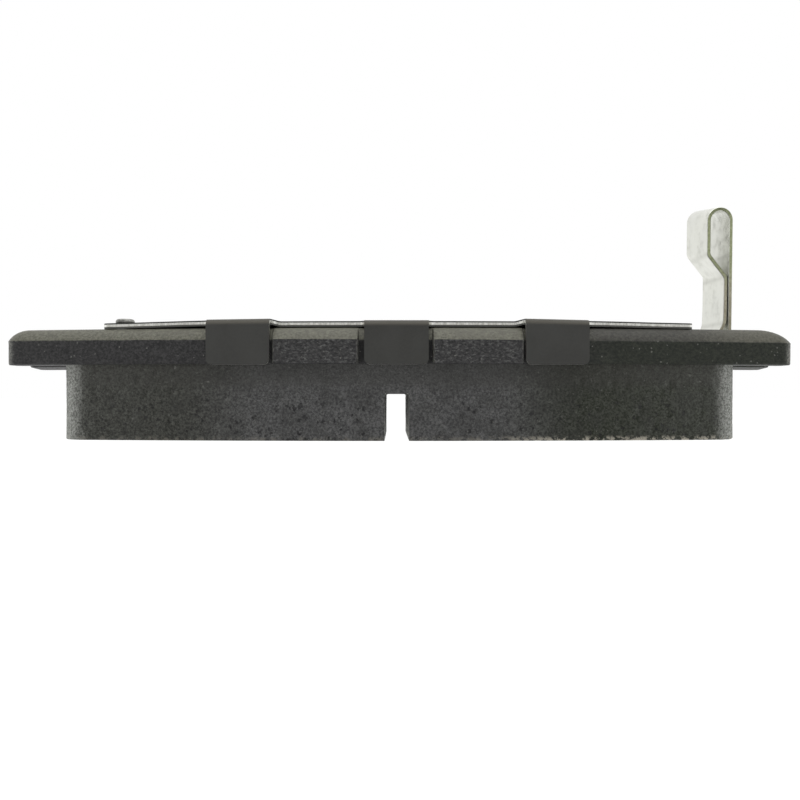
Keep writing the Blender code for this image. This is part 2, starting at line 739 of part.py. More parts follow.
def build_wear_indicator_rivet():
    seat = PLATE_TOP + LAYER_GAP + STRIP_THICKNESS + LAYER_GAP
    tail = PLATE_BOTTOM + 0.15
    head_radius = 3.3
    head_height = 1.5
    profile = [(WEAR_TAIL_RADIUS - 0.2, tail), (WEAR_TAIL_RADIUS, tail + 0.2),
               (WEAR_TAIL_RADIUS, PLATE_BOTTOM + WEAR_TAIL_DEPTH - 0.4),
               (WEAR_SHANK_RADIUS, PLATE_BOTTOM + WEAR_TAIL_DEPTH + 0.1),
               (WEAR_SHANK_RADIUS, seat), (head_radius, seat), (head_radius, seat + 0.25)]
    steps = 6
    for k in range(1, steps):
        angle = math.radians(90.0 * k / steps)
        profile.append((head_radius * math.cos(angle), seat + 0.25 + (head_height - 0.25) * math.sin(angle)))
    points, faces = spun(profile, wear_rivet_centre())
    return add_object("wear_indicator_rivet", points, faces)


def main():
    clear_scene()
    build_backing_plate()
    build_underlayer()
    build_friction_block()
    build_shim()
    build_shim_eyelet()
    build_wear_indicator_strip()
    build_wear_indicator_feeler()
    build_wear_indicator_rivet()


main()
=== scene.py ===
"""Studio view of a disc brake pad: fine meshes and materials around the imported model.

Lengths are in millimetres, and are turned into metres where a mesh, a light or a camera is made.
The friction face is at z = 0, the outer edge of the pad faces -Y and the wear indicator is at +X.
"""
import math

import bpy
from mathutils import Matrix, Vector, noise


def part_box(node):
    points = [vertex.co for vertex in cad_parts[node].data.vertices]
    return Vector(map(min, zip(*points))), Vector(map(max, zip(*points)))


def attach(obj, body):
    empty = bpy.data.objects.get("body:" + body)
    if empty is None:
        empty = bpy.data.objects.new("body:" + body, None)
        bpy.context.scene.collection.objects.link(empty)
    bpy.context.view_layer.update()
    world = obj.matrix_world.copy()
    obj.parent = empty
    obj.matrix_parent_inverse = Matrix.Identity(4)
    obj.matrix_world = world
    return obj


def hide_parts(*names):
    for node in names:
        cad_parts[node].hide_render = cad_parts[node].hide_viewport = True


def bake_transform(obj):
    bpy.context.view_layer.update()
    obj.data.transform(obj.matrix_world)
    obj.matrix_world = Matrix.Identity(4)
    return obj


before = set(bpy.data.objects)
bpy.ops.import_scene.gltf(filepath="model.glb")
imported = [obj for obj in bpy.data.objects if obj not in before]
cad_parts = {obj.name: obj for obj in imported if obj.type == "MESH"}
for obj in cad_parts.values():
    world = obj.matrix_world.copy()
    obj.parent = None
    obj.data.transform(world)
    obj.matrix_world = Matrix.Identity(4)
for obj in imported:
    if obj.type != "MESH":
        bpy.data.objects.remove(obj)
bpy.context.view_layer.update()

MM = 0.001


def box_mm(node):
    """A CAD node's lowest and highest corners in millimetres."""
    low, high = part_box(node)
    return Vector(low) / MM, Vector(high) / MM


plate_low, plate_high = box_mm("backing_plate")
block_low, block_high = box_mm("friction_block")

# Meshing
ROUND_SEGMENTS = 64
INNER_EDGE_STEPS = 40
CUT_MARGIN = 1.0
MOULDED_SMOOTH = 40.0

# Backing plate
PLATE_BOTTOM = plate_low.z
PLATE_TOP = plate_high.z
SHOULDER_HALF_WIDTH = 63.5
SHOULDER_CORNER = 2.0
SHOULDER_BACK_Y = -20.6
NOTCH_MOUTH_CORNER = 1.2
NOTCH_X = 56.0
NOTCH_CORNER = 1.0
EAR_FRONT = (64.2, -14.3)
EAR_BACK = (68.9, 2.3)
EAR_BACK_CORNER = 1.5
BODY_HALF_WIDTH = 59.0
LUG_DEPTH = 1.2
LUG_BOW = 0.05
OUTER_EDGE_Y = plate_low.y + LUG_DEPTH - LUG_BOW
INNER_EDGE_Y = 19.765
INNER_CORNER_X = 50.0
INNER_CORNER = 3.5
INNER_EDGE_RADIUS = 300.0
TAPER_START_Y = 13.0
TAPER_CORNER = 4.0
EDGE_BOW_RADIUS = 315.0
ROLL_DROP_LEFT = 1.85
ROLL_DROP_RIGHT = 2.2
ROLL_WIDTH = 2.6
ROLL_STRIP_X = 50.0
ROLL_SQUEEZE_LEFT = 0.26
ROLL_SQUEEZE_RIGHT = 0.42
ROLL_SQUEEZE_INNER = 0.2
EAR_ROLL = 1.0
EAR_ROLL_REACH = 2.0
ROLL_STEPS = 10
ROLL_FIRST_ANGLE = 24.0
EDGE_BREAK = 0.2
LUG_SLANT = 0.25
LUG_CORNER = 0.4
LUGS = ((-19.45, -6.5), (5.3, 19.0))
LUG_TOP_INSET = 1.1
WALL_STEPS = 9
PLATE_SPACING = 0.45
PLATE_CORNER_STEPS = 5
EDGE_SLACK = 0.01

# Relief of the plate's sheared wall
STREAKS_ACROSS = 1.9
STREAKS_UP = 0.3
STREAK_DEPTH = 0.05
WALL_CHIP_SIZE = 1.1
WALL_CHIP_DEPTH = 0.10
TEAR_DEPTH = 0.05
TEAR_SPREAD = 2.2
ROLL_CALM = 8.0
PEBBLE_SIZE = 0.5
PEBBLE_DEPTH = 0.035

# Friction material
BLOCK_BOTTOM = block_low.z
BLOCK_TOP = block_high.z
BLOCK_HALF_WIDTH = 54.4
BLOCK_SETBACK = 0.4
BLOCK_CORNER = 4.5
BLOCK_INSET = 1.2
BLOCK_INNER_CORNER = 3.0
BLOCK_SPACING = 0.4
BLOCK_CORNER_STEPS = 10
BLOCK_LEVELS = 22
BLOCK_GRAIN = 0.10
LAYER_GRAIN = 0.06
LAYER_LEVELS = 5
LAYER_TOP_GAP = 0.01
PEG_TOP = box_mm("underlayer")[1].z
SLOT_X = -0.42
SLOT_WIDTH = 3.8
SLOT_SKEW = 0.0063
SLOT_HEIGHT = 7.4
SLOT_ROUNDING = 0.35
SLOT_LEVELS = 8
SLOT_LENGTH_STEPS = 110
SLOT_CUT_REACH = 40.0
SLOT_CUT_BELOW = 2.0
SLOT_GRIT_SIZE = 0.9
SLOT_GRIT_DEPTH = 0.06
CRUMBLE_TOP = 0.55
CRUMBLE_START_X = -8.0
CRUMBLE_RUN = 26.0
RETENTION_HOLES = ((-37.0, 3.0), (-16.5, -1.0), (16.5, -1.0), (37.0, 3.0))
RETENTION_RADIUS = 4.5
RETENTION_GAP = 0.3

# Shim
SHIM_LEFT = -47.4
SHIM_RIGHT = 46.95
SHIM_END_CORNER = 1.0
SHIM_CLEARANCE = 0.1
SHIM_CROWN = 0.1
CROWN_FLAT_X = 30.0
CROWN_RUN = 15.0
STEEL_THICKNESS = 0.38
RUBBER_THICKNESS = 0.19
INNER_COAT_THICKNESS = 0.26
SKIN_GAP = 0.02
SHIM_SETBACK = 1.9
SHIM_CHAMFER_X = 40.0
SHIM_CHAMFER_SLOPE = 1.7
TAB_WIDTH = 9.9
OUTER_TABS = (-25.0, -0.46, 24.4)
TAB_LIFTS = (0.28, 0.0, 0.28)
WING_SHARES = (0.7, 0.0, 0.4)
LIFT_RUN = 1.6
LIFT_FADES = (0.5, 1.2, 2.2, 3.5, 5.0, 7.0, 9.0)
FAR_ROW = len(LIFT_FADES) + 1
SHIM_COLUMNS = 90
END_RUNS = (0.06, 0.15, 0.3, 0.5, 0.75, SHIM_END_CORNER)
INNER_TABS = (-20.0, 20.0)
TAB_CLEARANCE = 0.12
TAB_BEND = 0.8
TAB_BOTTOM = 11.8
TAB_CORNER = 0.9
RELIEF_RADIUS = 1.0
BEND_STEPS = 12
TAB_RUNS = (0.0, 0.03, 0.09, 0.18, 0.3, 0.45, 0.65, TAB_CORNER, 2.0, 3.5)
BESIDE_RUNS = (0.03, 0.1, 0.2, 0.35, 0.5, 0.75, RELIEF_RADIUS, 1.2, 1.4, LIFT_RUN)
TAB_SURROUND = 1.5
STATION_SLACK = 0.002

# Eyelet and rivet
EYELET_X = -44.28
EYELET_Y = -19.1
EYELET_HOLE_RADIUS = 1.15
EYELET_RECESS_RADIUS = 2.2
EYELET_RECESS_DEPTH = 0.55
EYELET_BORE_RADIUS = 0.55
EYELET_PLAY = 0.1
EYELET_FOOT_RADIUS = 1.8
EYELET_FOOT_HEIGHT = 0.4
EYELET_FOOT_BREAK = 0.08
EYELET_RIM_RADIUS = 1.4
EYELET_RIM_HEIGHT = 0.75
EYELET_ROLL_RADIUS = 0.45
WEAR_RIVET_X = 54.4
WEAR_HOLE_RADIUS = 2.1
WEAR_SHANK_RADIUS = 1.8
WEAR_TAIL_RADIUS = 2.8
WEAR_TAIL_DEPTH = 1.3
TAIL_RECESS = 0.15
TAIL_BREAK = 0.2
TAIL_PLAY = 0.3
RIVET_HEAD_RADIUS = 3.3
RIVET_HEAD_HEIGHT = 1.5
RIVET_RIM_HEIGHT = 0.25
RIVET_EDGE_BREAK = 0.06
RIVET_DOME_STEPS = 14

# Wear indicator
STRIP_THICKNESS = 0.71
STRIP_WIDTH = 10.7
STRIP_LEAN = math.radians(7.2)
STRIP_YAW = math.radians(3.7)
STRIP_NEAR_Y = 10.5
STRIP_EDGE_BREAK = 0.09
LAYER_GAP = 0.05
FOOT_END_X = 50.2
FOOT_BEND = 3.86
FOOT_CORNER = 2.7
FOOT_RUNS = (0.02, 0.15, 0.4, 0.8, 1.4, 2.0, FOOT_CORNER)
FOOT_BEND_STEPS = 20
LEG_X = 62.78
LEG_START_SHIFT = 0.03
LEG_START_RISE = 2.0
LEG_TOP = (62.53, 29.81)
KINK_HIGH = (58.97, 33.94)
KINK_RADIUS = 1.5
LOOP_CENTRE = (60.88, 40.38)
LOOP_RADIUS = 2.156
TIP = (64.25, 9.8)
TIP_CORNER = 1.6
TIP_RUNS = (1.0, 0.6, 0.3, 0.12, 0.02)
KINK_STEPS = 8
LOOP_STEPS = 40
LEG_STEPS = 24
BLEND_OFFSETS = (-0.54, -0.38)


# Helpers

def smoothstep(t):
    t = min(max(t, 0.0), 1.0)
    return t * t * (3.0 - 2.0 * t)


def lumps(point, size, octaves=3):
    """Smooth fractal noise from -1 to 1, with lumps about size millimetres across."""
    return noise.fractal(Vector(point) / size, 1.0, 2.0, octaves)


def add_piece(name, points, faces, material, smooth=30.0):
    """Makes a mesh object from points in millimetres."""
    mesh = bpy.data.meshes.new(name)
    mesh.from_pydata([Vector(p) * MM for p in points], [], faces)
    mesh.update()
    mesh.shade_smooth()
    mesh.set_sharp_from_angle(angle=math.radians(smooth))
    if material is not None:
        mesh.materials.append(material)
    item = bpy.data.objects.new(name, mesh)
    bpy.context.scene.collection.objects.link(item)
    return item


def combined(item, tools, operation, smooth=30.0):
    """Applies Booleans with each tool and removes the tools."""
    for tool in tools:
        modifier = item.modifiers.new("boolean", "BOOLEAN")
        modifier.operation = operation
        modifier.object = tool
    graph = bpy.context.evaluated_depsgraph_get()
    mesh = bpy.data.meshes.new_from_object(item.evaluated_get(graph))
    item.modifiers.clear()
    item.data = mesh
    mesh.shade_smooth()
    mesh.set_sharp_from_angle(angle=math.radians(smooth))
    for tool in tools:
        bpy.data.objects.remove(tool, do_unlink=True)
    return item


def arc(centre_x, centre_y, radius, start, end, steps):
    """Points on an arc, angles in degrees."""
    turns = [math.radians(start + (end - start) * i / steps) for i in range(steps + 1)]
    return [(centre_x + radius * math.cos(a), centre_y + radius * math.sin(a)) for a in turns]


def filleted(corners, steps):
    """Rounds each (x, y, radius) corner of a closed polygon; radius 0 keeps the point."""
    points = []
    count = len(corners)
    for i, (x, y, radius) in enumerate(corners):
        if radius == 0.0:
            points.append((x, y))
            continue
        here = Vector((x, y))
        back = (Vector(corners[i - 1][:2]) - here).normalized()
        ahead = (Vector(corners[(i + 1) % count][:2]) - here).normalized()
        half = back.angle(ahead) / 2.0
        centre = here + (back + ahead).normalized() * (radius / math.sin(half))
        first = here + back * (radius / math.tan(half)) - centre
        last = here + ahead * (radius / math.tan(half)) - centre
        turn = first.angle_signed(last)
        for k in range(steps + 1):
            spoke = first.copy()
            spoke.rotate(Matrix.Rotation(-turn * k / steps, 2))
            points.append(tuple(centre + spoke))
    return points


def resampled(outline, spacing):
    """A closed outline with further points, so that none are more than spacing apart."""
    points = []
    for a, b in zip(outline, outline[1:] + outline[:1]):
        start, end = Vector(a), Vector(b)
        steps = max(1, math.ceil((end - start).length / spacing))
        points += [tuple(start.lerp(end, k / steps)) for k in range(steps)]
    return points


def outward(outline):
    """The points of a closed anticlockwise outline, each with its unit normal."""
    wall = []
    for i, point in enumerate(outline):
        along = Vector(outline[(i + 1) % len(outline)]) - Vector(outline[i - 1])
        wall.append((point, Vector((along.y, -along.x)).normalized()))
    return wall


def corner_setback(from_side, radius):
    """How far a rounded corner draws an edge back, at that distance from the corner's side."""
    inside = radius - min(from_side, radius)
    return radius - math.sqrt(max(radius ** 2 - inside ** 2, 0.0))


def inner_edge(x, inset=0.0):
    """The pad's inner edge, concave like the rotor's inner radius."""
    return INNER_EDGE_Y - inset + x * x / (2.0 * INNER_EDGE_RADIUS)


def inner_points(half_width, inset):
    """Points along the inner edge, from +X to -X, without its two corners."""
    steps = INNER_EDGE_STEPS
    stations = [half_width * (1.0 - 2.0 * i / steps) for i in range(1, steps)]
    return [(x, inner_edge(x, inset), 0.0) for x in stations]


def bowed(point):
    """Bends the pad, so that the middle of its outer edge stands furthest out."""
    x, y, z = point
    return (x, y + x * x / (2.0 * EDGE_BOW_RADIUS), z)


def stacked(rings):
    """A solid skinned over closed rings of equal length, lowest first, with flat caps."""
    count = len(rings[0])
    points = [point for ring in rings for point in ring]
    faces = [tuple(reversed(range(count)))]
    for level in range(len(rings) - 1):
        low = level * count
        for i in range(count):
            j = (i + 1) % count
            faces.append((low + i, low + j, low + count + j, low + count + i))
    top = (len(rings) - 1) * count
    faces.append(tuple(top + i for i in range(count)))
    return points, faces


def bowed_solid(name, rings, material, smooth=30.0):
    """A piece skinned over flat rings, bent like the pad."""
    points, faces = stacked([[bowed(point) for point in ring] for ring in rings])
    return add_piece(name, points, faces, material, smooth)


def turned(profile, centre):
    """A closed (radius, z) loop, listed anticlockwise in the r-z plane, turned about a vertical axis."""
    count = len(profile)
    points = []
    for s in range(ROUND_SEGMENTS):
        angle = 2.0 * math.pi * s / ROUND_SEGMENTS
        for radius, z in profile:
            points.append((centre[0] + radius * math.cos(angle), centre[1] + radius * math.sin(angle), z))
    faces = []
    for s in range(ROUND_SEGMENTS):
        now = s * count
        after = ((s + 1) % ROUND_SEGMENTS) * count
        for i in range(count):
            j = (i + 1) % count
            faces.append((now + i, after + i, after + j, now + j))
    return points, faces


def spun(profile, centre):
    """A (radius, z) line from the bottom to the top, turned and closed by flat caps at both ends."""
    rings = []
    for radius, z in profile:
        circle = arc(centre[0], centre[1], radius, 0.0, 360.0, ROUND_SEGMENTS)[:-1]
        rings.append([(x, y, z) for x, y in circle])
    return stacked(rings)


def round_tool(profile, centre):
    """A cutter or a peg turned from a (radius, z) line."""
    points, faces = spun(profile, centre)
    return add_piece("tool", points, faces, None)


def cylinder(centre, radius, bottom, top):
    return round_tool([(radius, bottom), (radius, top)], centre)


def finished(piece, slot, *nodes):
    """Fixes a piece to the pad's body, in place of the nodes that it draws."""
    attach(piece, "pad")
    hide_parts(*nodes)


# Backing plate

def plate_corners():
    """The plate's outline: lugs between the shim tabs, and a shoulder, a notch and an ear at each end."""
    lug_y = OUTER_EDGE_Y - LUG_DEPTH
    corners = [(-SHOULDER_HALF_WIDTH, OUTER_EDGE_Y, SHOULDER_CORNER)]
    for left, right in LUGS:
        corners += [(left - LUG_SLANT, OUTER_EDGE_Y, 0.0), (left, lug_y, LUG_CORNER)]
        corners += [(right, lug_y, LUG_CORNER), (right + LUG_SLANT, OUTER_EDGE_Y, 0.0)]
    side = [(SHOULDER_HALF_WIDTH, SHOULDER_BACK_Y, NOTCH_MOUTH_CORNER),
            (NOTCH_X, SHOULDER_BACK_Y, NOTCH_CORNER), (NOTCH_X, EAR_FRONT[1], NOTCH_CORNER),
            (*EAR_FRONT, NOTCH_MOUTH_CORNER), (*EAR_BACK, EAR_BACK_CORNER),
            (BODY_HALF_WIDTH, EAR_BACK[1], EAR_BACK_CORNER),
            (BODY_HALF_WIDTH, TAPER_START_Y, TAPER_CORNER),
            (INNER_CORNER_X, inner_edge(INNER_CORNER_X), INNER_CORNER)]
    corners += [(SHOULDER_HALF_WIDTH, OUTER_EDGE_Y, SHOULDER_CORNER)] + side
    corners += inner_points(INNER_CORNER_X, 0.0)
    corners += [(-x, y, radius) for x, y, radius in reversed(side)]
    return corners


def rolled(x, y, amount):
    """Moves an outline point inwards as the stamped edge rolls over; amount goes from 0 to 1."""
    side = math.copysign(1.0, x)
    new_x = x
    squeeze = ROLL_SQUEEZE_LEFT if x < 0.0 else ROLL_SQUEEZE_RIGHT
    if abs(x) > ROLL_STRIP_X:
        new_x = side * (ROLL_STRIP_X + (abs(x) - ROLL_STRIP_X) * (1.0 - squeeze * amount))
    for left, right in LUGS:
        if left - EDGE_SLACK <= x <= right + EDGE_SLACK and y < OUTER_EDGE_Y - LUG_DEPTH / 2.0:
            middle = (left + right) / 2.0
            new_x = x - (x - middle) / ((right - left) / 2.0) * LUG_TOP_INSET * amount
    inner_line = OUTER_EDGE_Y + ROLL_WIDTH
    if y < inner_line:
        return new_x, inner_line + (y - inner_line) * (1.0 - amount)
    if y > TAPER_START_Y:
        return new_x, TAPER_START_Y + (y - TAPER_START_Y) * (1.0 - ROLL_SQUEEZE_INNER * amount)
    for wall_y, inwards in ((SHOULDER_BACK_Y, -1.0), (EAR_FRONT[1], 1.0), (EAR_BACK[1], -1.0)):
        if abs(x) > NOTCH_X - EDGE_SLACK and abs(y - wall_y) < EAR_ROLL_REACH:
            return new_x, y + inwards * EAR_ROLL * amount
    return new_x, y


def roll_start_z(x):
    """Height at which the stamped edge starts to roll over."""
    share = (x + SHOULDER_HALF_WIDTH) / (2.0 * SHOULDER_HALF_WIDTH)
    return PLATE_TOP - (ROLL_DROP_LEFT + (ROLL_DROP_RIGHT - ROLL_DROP_LEFT) * share)


def wall_ring(wall, share):
    """A ring of the plate's wall; share goes from 0 at its broken lower edge to 1 at the roll."""
    ring = []
    for (x, y), normal in wall:
        z = PLATE_BOTTOM + EDGE_BREAK + (roll_start_z(x) - PLATE_BOTTOM - EDGE_BREAK) * share
        streak = 0.5 + 0.5 * noise.noise(Vector((x * STREAKS_ACROSS, y * STREAKS_ACROSS, z * STREAKS_UP)))
        chip = max(lumps((x, y, z + 40.0), WALL_CHIP_SIZE) - 0.25, 0.0)
        torn = smoothstep(1.0 - share * TEAR_SPREAD) * 0.5
        inset = STREAK_DEPTH * streak + WALL_CHIP_DEPTH * chip + TEAR_DEPTH * torn
        inset *= smoothstep((1.0 - share) * ROLL_CALM)
        ring.append((x - normal.x * inset, y - normal.y * inset, z))
    return ring


def roll_ring(outline, step):
    """A ring of the rolled edge, which leaves the wall at a slight kink."""
    first = math.radians(ROLL_FIRST_ANGLE)
    angle = first + (math.pi / 2.0 - first) * step / ROLL_STEPS
    amount = (math.cos(first) - math.cos(angle)) / math.cos(first)
    rise = (math.sin(angle) - math.sin(first)) / (1.0 - math.sin(first))
    ring = []
    for x, y in outline:
        new_x, new_y = rolled(x, y, amount)
        low = roll_start_z(x)
        pebble = PEBBLE_DEPTH * (0.5 + 0.5 * lumps((new_x, new_y, 9.0), PEBBLE_SIZE)) * (1.0 - rise)
        ring.append((new_x, new_y, low + (PLATE_TOP - low) * rise - pebble))
    return ring


def lowest_ring(wall):
    """The ring inside the plate's broken lower edge."""
    ring = []
    for (x, y), normal in wall:
        ring.append((x - normal.x * EDGE_BREAK, y - normal.y * EDGE_BREAK, PLATE_BOTTOM))
    return ring


def plate_cutters():
    """The retention holes, the eyelet's recess, and the rivet's hole with its sunk tail."""
    tools = []
    for centre in RETENTION_HOLES:
        tools.append(cylinder(centre, RETENTION_RADIUS, PLATE_BOTTOM - CUT_MARGIN, PLATE_TOP + CUT_MARGIN))
    recess_z = PLATE_TOP - EYELET_RECESS_DEPTH
    tools.append(cylinder((EYELET_X, EYELET_Y), EYELET_RECESS_RADIUS, recess_z, PLATE_TOP + CUT_MARGIN))
    neck_z = PLATE_BOTTOM + WEAR_TAIL_DEPTH
    hole_line = [(WEAR_TAIL_RADIUS + TAIL_PLAY, PLATE_BOTTOM - CUT_MARGIN),
                 (WEAR_TAIL_RADIUS + TAIL_PLAY, neck_z),
                 (WEAR_HOLE_RADIUS, neck_z + 0.4),
                 (WEAR_HOLE_RADIUS, PLATE_TOP + CUT_MARGIN)]
    tools.append(round_tool(hole_line, wear_rivet_centre()))
    return tools


def make_backing_plate(material):
    outline = resampled(filleted(plate_corners(), PLATE_CORNER_STEPS), PLATE_SPACING)
    wall = outward(outline)
    rings = [lowest_ring(wall)]
    rings += [wall_ring(wall, k / WALL_STEPS) for k in range(WALL_STEPS + 1)]
    rings += [roll_ring(outline, step) for step in range(1, ROLL_STEPS + 1)]
    plate = bowed_solid("backing_plate_steel", rings, material)
    combined(plate, plate_cutters(), "DIFFERENCE")
    finished(plate, "plate_coating", "backing_plate")


# Friction material

def block_outline():
    outer_y = OUTER_EDGE_Y + BLOCK_SETBACK
    half = BLOCK_HALF_WIDTH
    corner_x = INNER_CORNER_X - BLOCK_INSET
    side = [(half, outer_y, BLOCK_CORNER), (half, TAPER_START_Y - BLOCK_INSET, TAPER_CORNER),
            (corner_x, inner_edge(corner_x, BLOCK_INSET), BLOCK_INNER_CORNER)]
    corners = side + inner_points(corner_x, BLOCK_INSET)
    corners += [(-x, y, radius) for x, y, radius in reversed(side)]
    return resampled(filleted(corners, BLOCK_CORNER_STEPS), BLOCK_SPACING)


def moulded_ring(wall, z, grain):
    """A ring of moulded material, whose wall is eaten into by grains and pits up to grain deep."""
    ring = []
    for (x, y), normal in wall:
        grit = 0.5 + 0.5 * lumps((x, y, z), 0.55, 2)
        pit = max(lumps((x, y + 70.0, z), 1.3, 2) - 0.38, 0.0) * 2.2
        wave = 0.5 + 0.5 * noise.noise(Vector((x, y, z * 0.7)) / 6.0)
        inset = grain * (0.45 * grit + pit + 0.5 * wave)
        ring.append((x - normal.x * inset, y - normal.y * inset, z))
    return ring


def crumbled_ring(wall, part):
    """A ring of the friction face's broken edge; part goes from 0 on the face to 1 on the wall."""
    ring = []
    for (x, y), normal in wall:
        side = smoothstep((x - CRUMBLE_START_X) / CRUMBLE_RUN)
        even = 0.10 + 0.10 * side
        uneven = (0.12 + 0.30 * side) * max(lumps((x, y, 3.0), 1.0) + 0.15, 0.0)
        size = even + uneven
        inset = size * (1.0 - part) ** 1.4 + 0.04
        ring.append((x - normal.x * inset, y - normal.y * inset, BLOCK_BOTTOM + size * part))
    return ring


def slot_cutter():
    """A bar through the block, slightly skewed, with rounded upper edges and gritty walls."""
    half = SLOT_WIDTH / 2.0
    round_z = SLOT_HEIGHT - SLOT_ROUNDING
    section = arc(SLOT_X + half - SLOT_ROUNDING, round_z, SLOT_ROUNDING, 0.0, 90.0, 5)
    section += arc(SLOT_X - half + SLOT_ROUNDING, round_z, SLOT_ROUNDING, 90.0, 180.0, 5)
    levels = range(1, SLOT_LEVELS)
    section += [(SLOT_X - half, SLOT_HEIGHT * (1.0 - k / SLOT_LEVELS)) for k in levels]
    section += [(SLOT_X - half, -SLOT_CUT_BELOW), (SLOT_X + half, -SLOT_CUT_BELOW)]
    section += [(SLOT_X + half, SLOT_HEIGHT * k / SLOT_LEVELS) for k in levels]
    rings = []
    for i in range(SLOT_LENGTH_STEPS + 1):
        y = SLOT_CUT_REACH - 2.0 * SLOT_CUT_REACH * i / SLOT_LENGTH_STEPS
        ring = []
        for x, z in section:
            rough = SLOT_GRIT_DEPTH * noise.noise(Vector((x, y, z)) / SLOT_GRIT_SIZE)
            ring.append((x - (y - OUTER_EDGE_Y) * SLOT_SKEW + rough, y, z))
        rings.append(ring)
    points, faces = stacked(rings)
    return add_piece("tool", points, faces, None)


def make_friction_block(material):
    wall = outward(block_outline())
    rings = [crumbled_ring(wall, part) for part in (0.0, 0.4, 1.0)]
    for k in range(BLOCK_LEVELS + 1):
        z = CRUMBLE_TOP + (BLOCK_TOP + LAYER_GAP / 2.0 - CRUMBLE_TOP) * k / BLOCK_LEVELS
        rings.append(moulded_ring(wall, z, BLOCK_GRAIN))
    block = bowed_solid("friction_block_moulding", rings, material, MOULDED_SMOOTH)
    combined(block, [slot_cutter()], "DIFFERENCE", MOULDED_SMOOTH)
    finished(block, "friction_material", "friction_block")


def make_underlayer(material):
    wall = outward(block_outline())
    low = BLOCK_TOP + LAYER_GAP / 2.0
    high = PLATE_BOTTOM - LAYER_TOP_GAP
    levels = [low + (high - low) * k / LAYER_LEVELS for k in range(LAYER_LEVELS + 1)]
    rings = [moulded_ring(wall, z, LAYER_GRAIN) for z in levels]
    layer = bowed_solid("underlayer_moulding", rings, material, MOULDED_SMOOTH)
    peg_radius = RETENTION_RADIUS - RETENTION_GAP
    pegs = [cylinder(centre, peg_radius, PLATE_BOTTOM - CUT_MARGIN, PEG_TOP) for centre in RETENTION_HOLES]
    combined(layer, pegs, "UNION", MOULDED_SMOOTH)
    finished(layer, "underlayer", "underlayer")


# Shim

def shim_thickness():
    return STEEL_THICKNESS + 2.0 * (SKIN_GAP + RUBBER_THICKNESS)


def shim_middle(x):
    """Height of the steel sheet's middle surface, slightly crowned by its folded tabs."""
    crown = SHIM_CROWN * (1.0 - smoothstep((abs(x) - CROWN_FLAT_X) / CROWN_RUN))
    return PLATE_TOP + SHIM_CLEARANCE + shim_thickness() / 2.0 + crown


def edge_lift(x):
    """Height by which the folded tabs' springback lifts the sheet's outer edge."""
    lift = 0.0
    half = TAB_WIDTH / 2.0
    for middle, height, share in zip(OUTER_TABS, TAB_LIFTS, WING_SHARES):
        along = (x - middle) * math.copysign(1.0, middle)
        wing = abs((SHIM_LEFT if middle < 0.0 else SHIM_RIGHT) - middle) - half
        if along < -half:
            lift += height * (1.0 - smoothstep((-half - along) / LIFT_RUN))
        elif along < half:
            lift += height * (1.0 - (1.0 - share) * (along + half) / TAB_WIDTH)
        else:
            lift += height * share * (1.0 - (along - half) / wing)
    return lift


def tab_span(middle):
    return middle - TAB_WIDTH / 2.0, middle + TAB_WIDTH / 2.0


def shim_stations():
    """X positions of the sheet's columns: along the free edges, the relief cuts and the tabs."""
    stations = {round(SHIM_LEFT, 3), round(SHIM_RIGHT, 3)}
    for run in END_RUNS:
        stations |= {round(SHIM_LEFT + run, 3), round(SHIM_RIGHT - run, 3)}
    for i in range(1, SHIM_COLUMNS):
        x = SHIM_LEFT + (SHIM_RIGHT - SHIM_LEFT) * i / SHIM_COLUMNS
        near_tab = any(abs(x - m) < TAB_WIDTH / 2.0 + TAB_SURROUND for m in OUTER_TABS + INNER_TABS)
        if not near_tab:
            stations.add(round(x, 3))
    for middle in OUTER_TABS + INNER_TABS:
        left, right = tab_span(middle)
        for run in TAB_RUNS:
            stations |= {round(left + run, 3), round(right - run, 3)}
        for run in BESIDE_RUNS:
            stations |= {round(left - run, 3), round(right + run, 3)}
    return sorted(stations)


def tab_at(x, tabs):
    """The middle of the tab that holds this column, or None."""
    for middle in tabs:
        left, right = tab_span(middle)
        if left - STATION_SLACK <= x <= right + STATION_SLACK:
            return middle
    return None


def relief(x, tabs):
    """How far the free edge comes forward beside a tab, along a quarter circle."""
    beside = min(max(abs(x - m) - TAB_WIDTH / 2.0, 0.0) for m in tabs)
    if beside >= RELIEF_RADIUS:
        return 0.0
    return 1.0 - math.sqrt(1.0 - (1.0 - beside / RELIEF_RADIUS) ** 2)


def end_corner(x):
    """Setback of the free edge at the sheet's two rounded ends."""
    return corner_setback(min(x - SHIM_LEFT, SHIM_RIGHT - x), SHIM_END_CORNER)


def bend_start():
    """Distance from the plate's edge in to the start of a tab's bend."""
    return TAB_BEND - TAB_CLEARANCE - shim_thickness() / 2.0


def tab_rows(x, middle, edge_y, side, top):
    """Points and normals down a folded tab, from the end of its bend to its rounded bottom edge."""
    start_y = edge_y - side * bend_start()
    rows = []
    for k in range(1, BEND_STEPS + 1):
        angle = math.radians(90.0 * k / BEND_STEPS)
        rows.append((start_y + side * TAB_BEND * math.sin(angle),
                     top - TAB_BEND * (1.0 - math.cos(angle)),
                     (0.0, side * math.sin(angle), math.cos(angle))))
    lift = corner_setback(TAB_WIDTH / 2.0 - abs(x - middle), TAB_CORNER)
    rows.append((start_y + side * TAB_BEND, TAB_BOTTOM + lift, (0.0, side, 0.0)))
    return rows


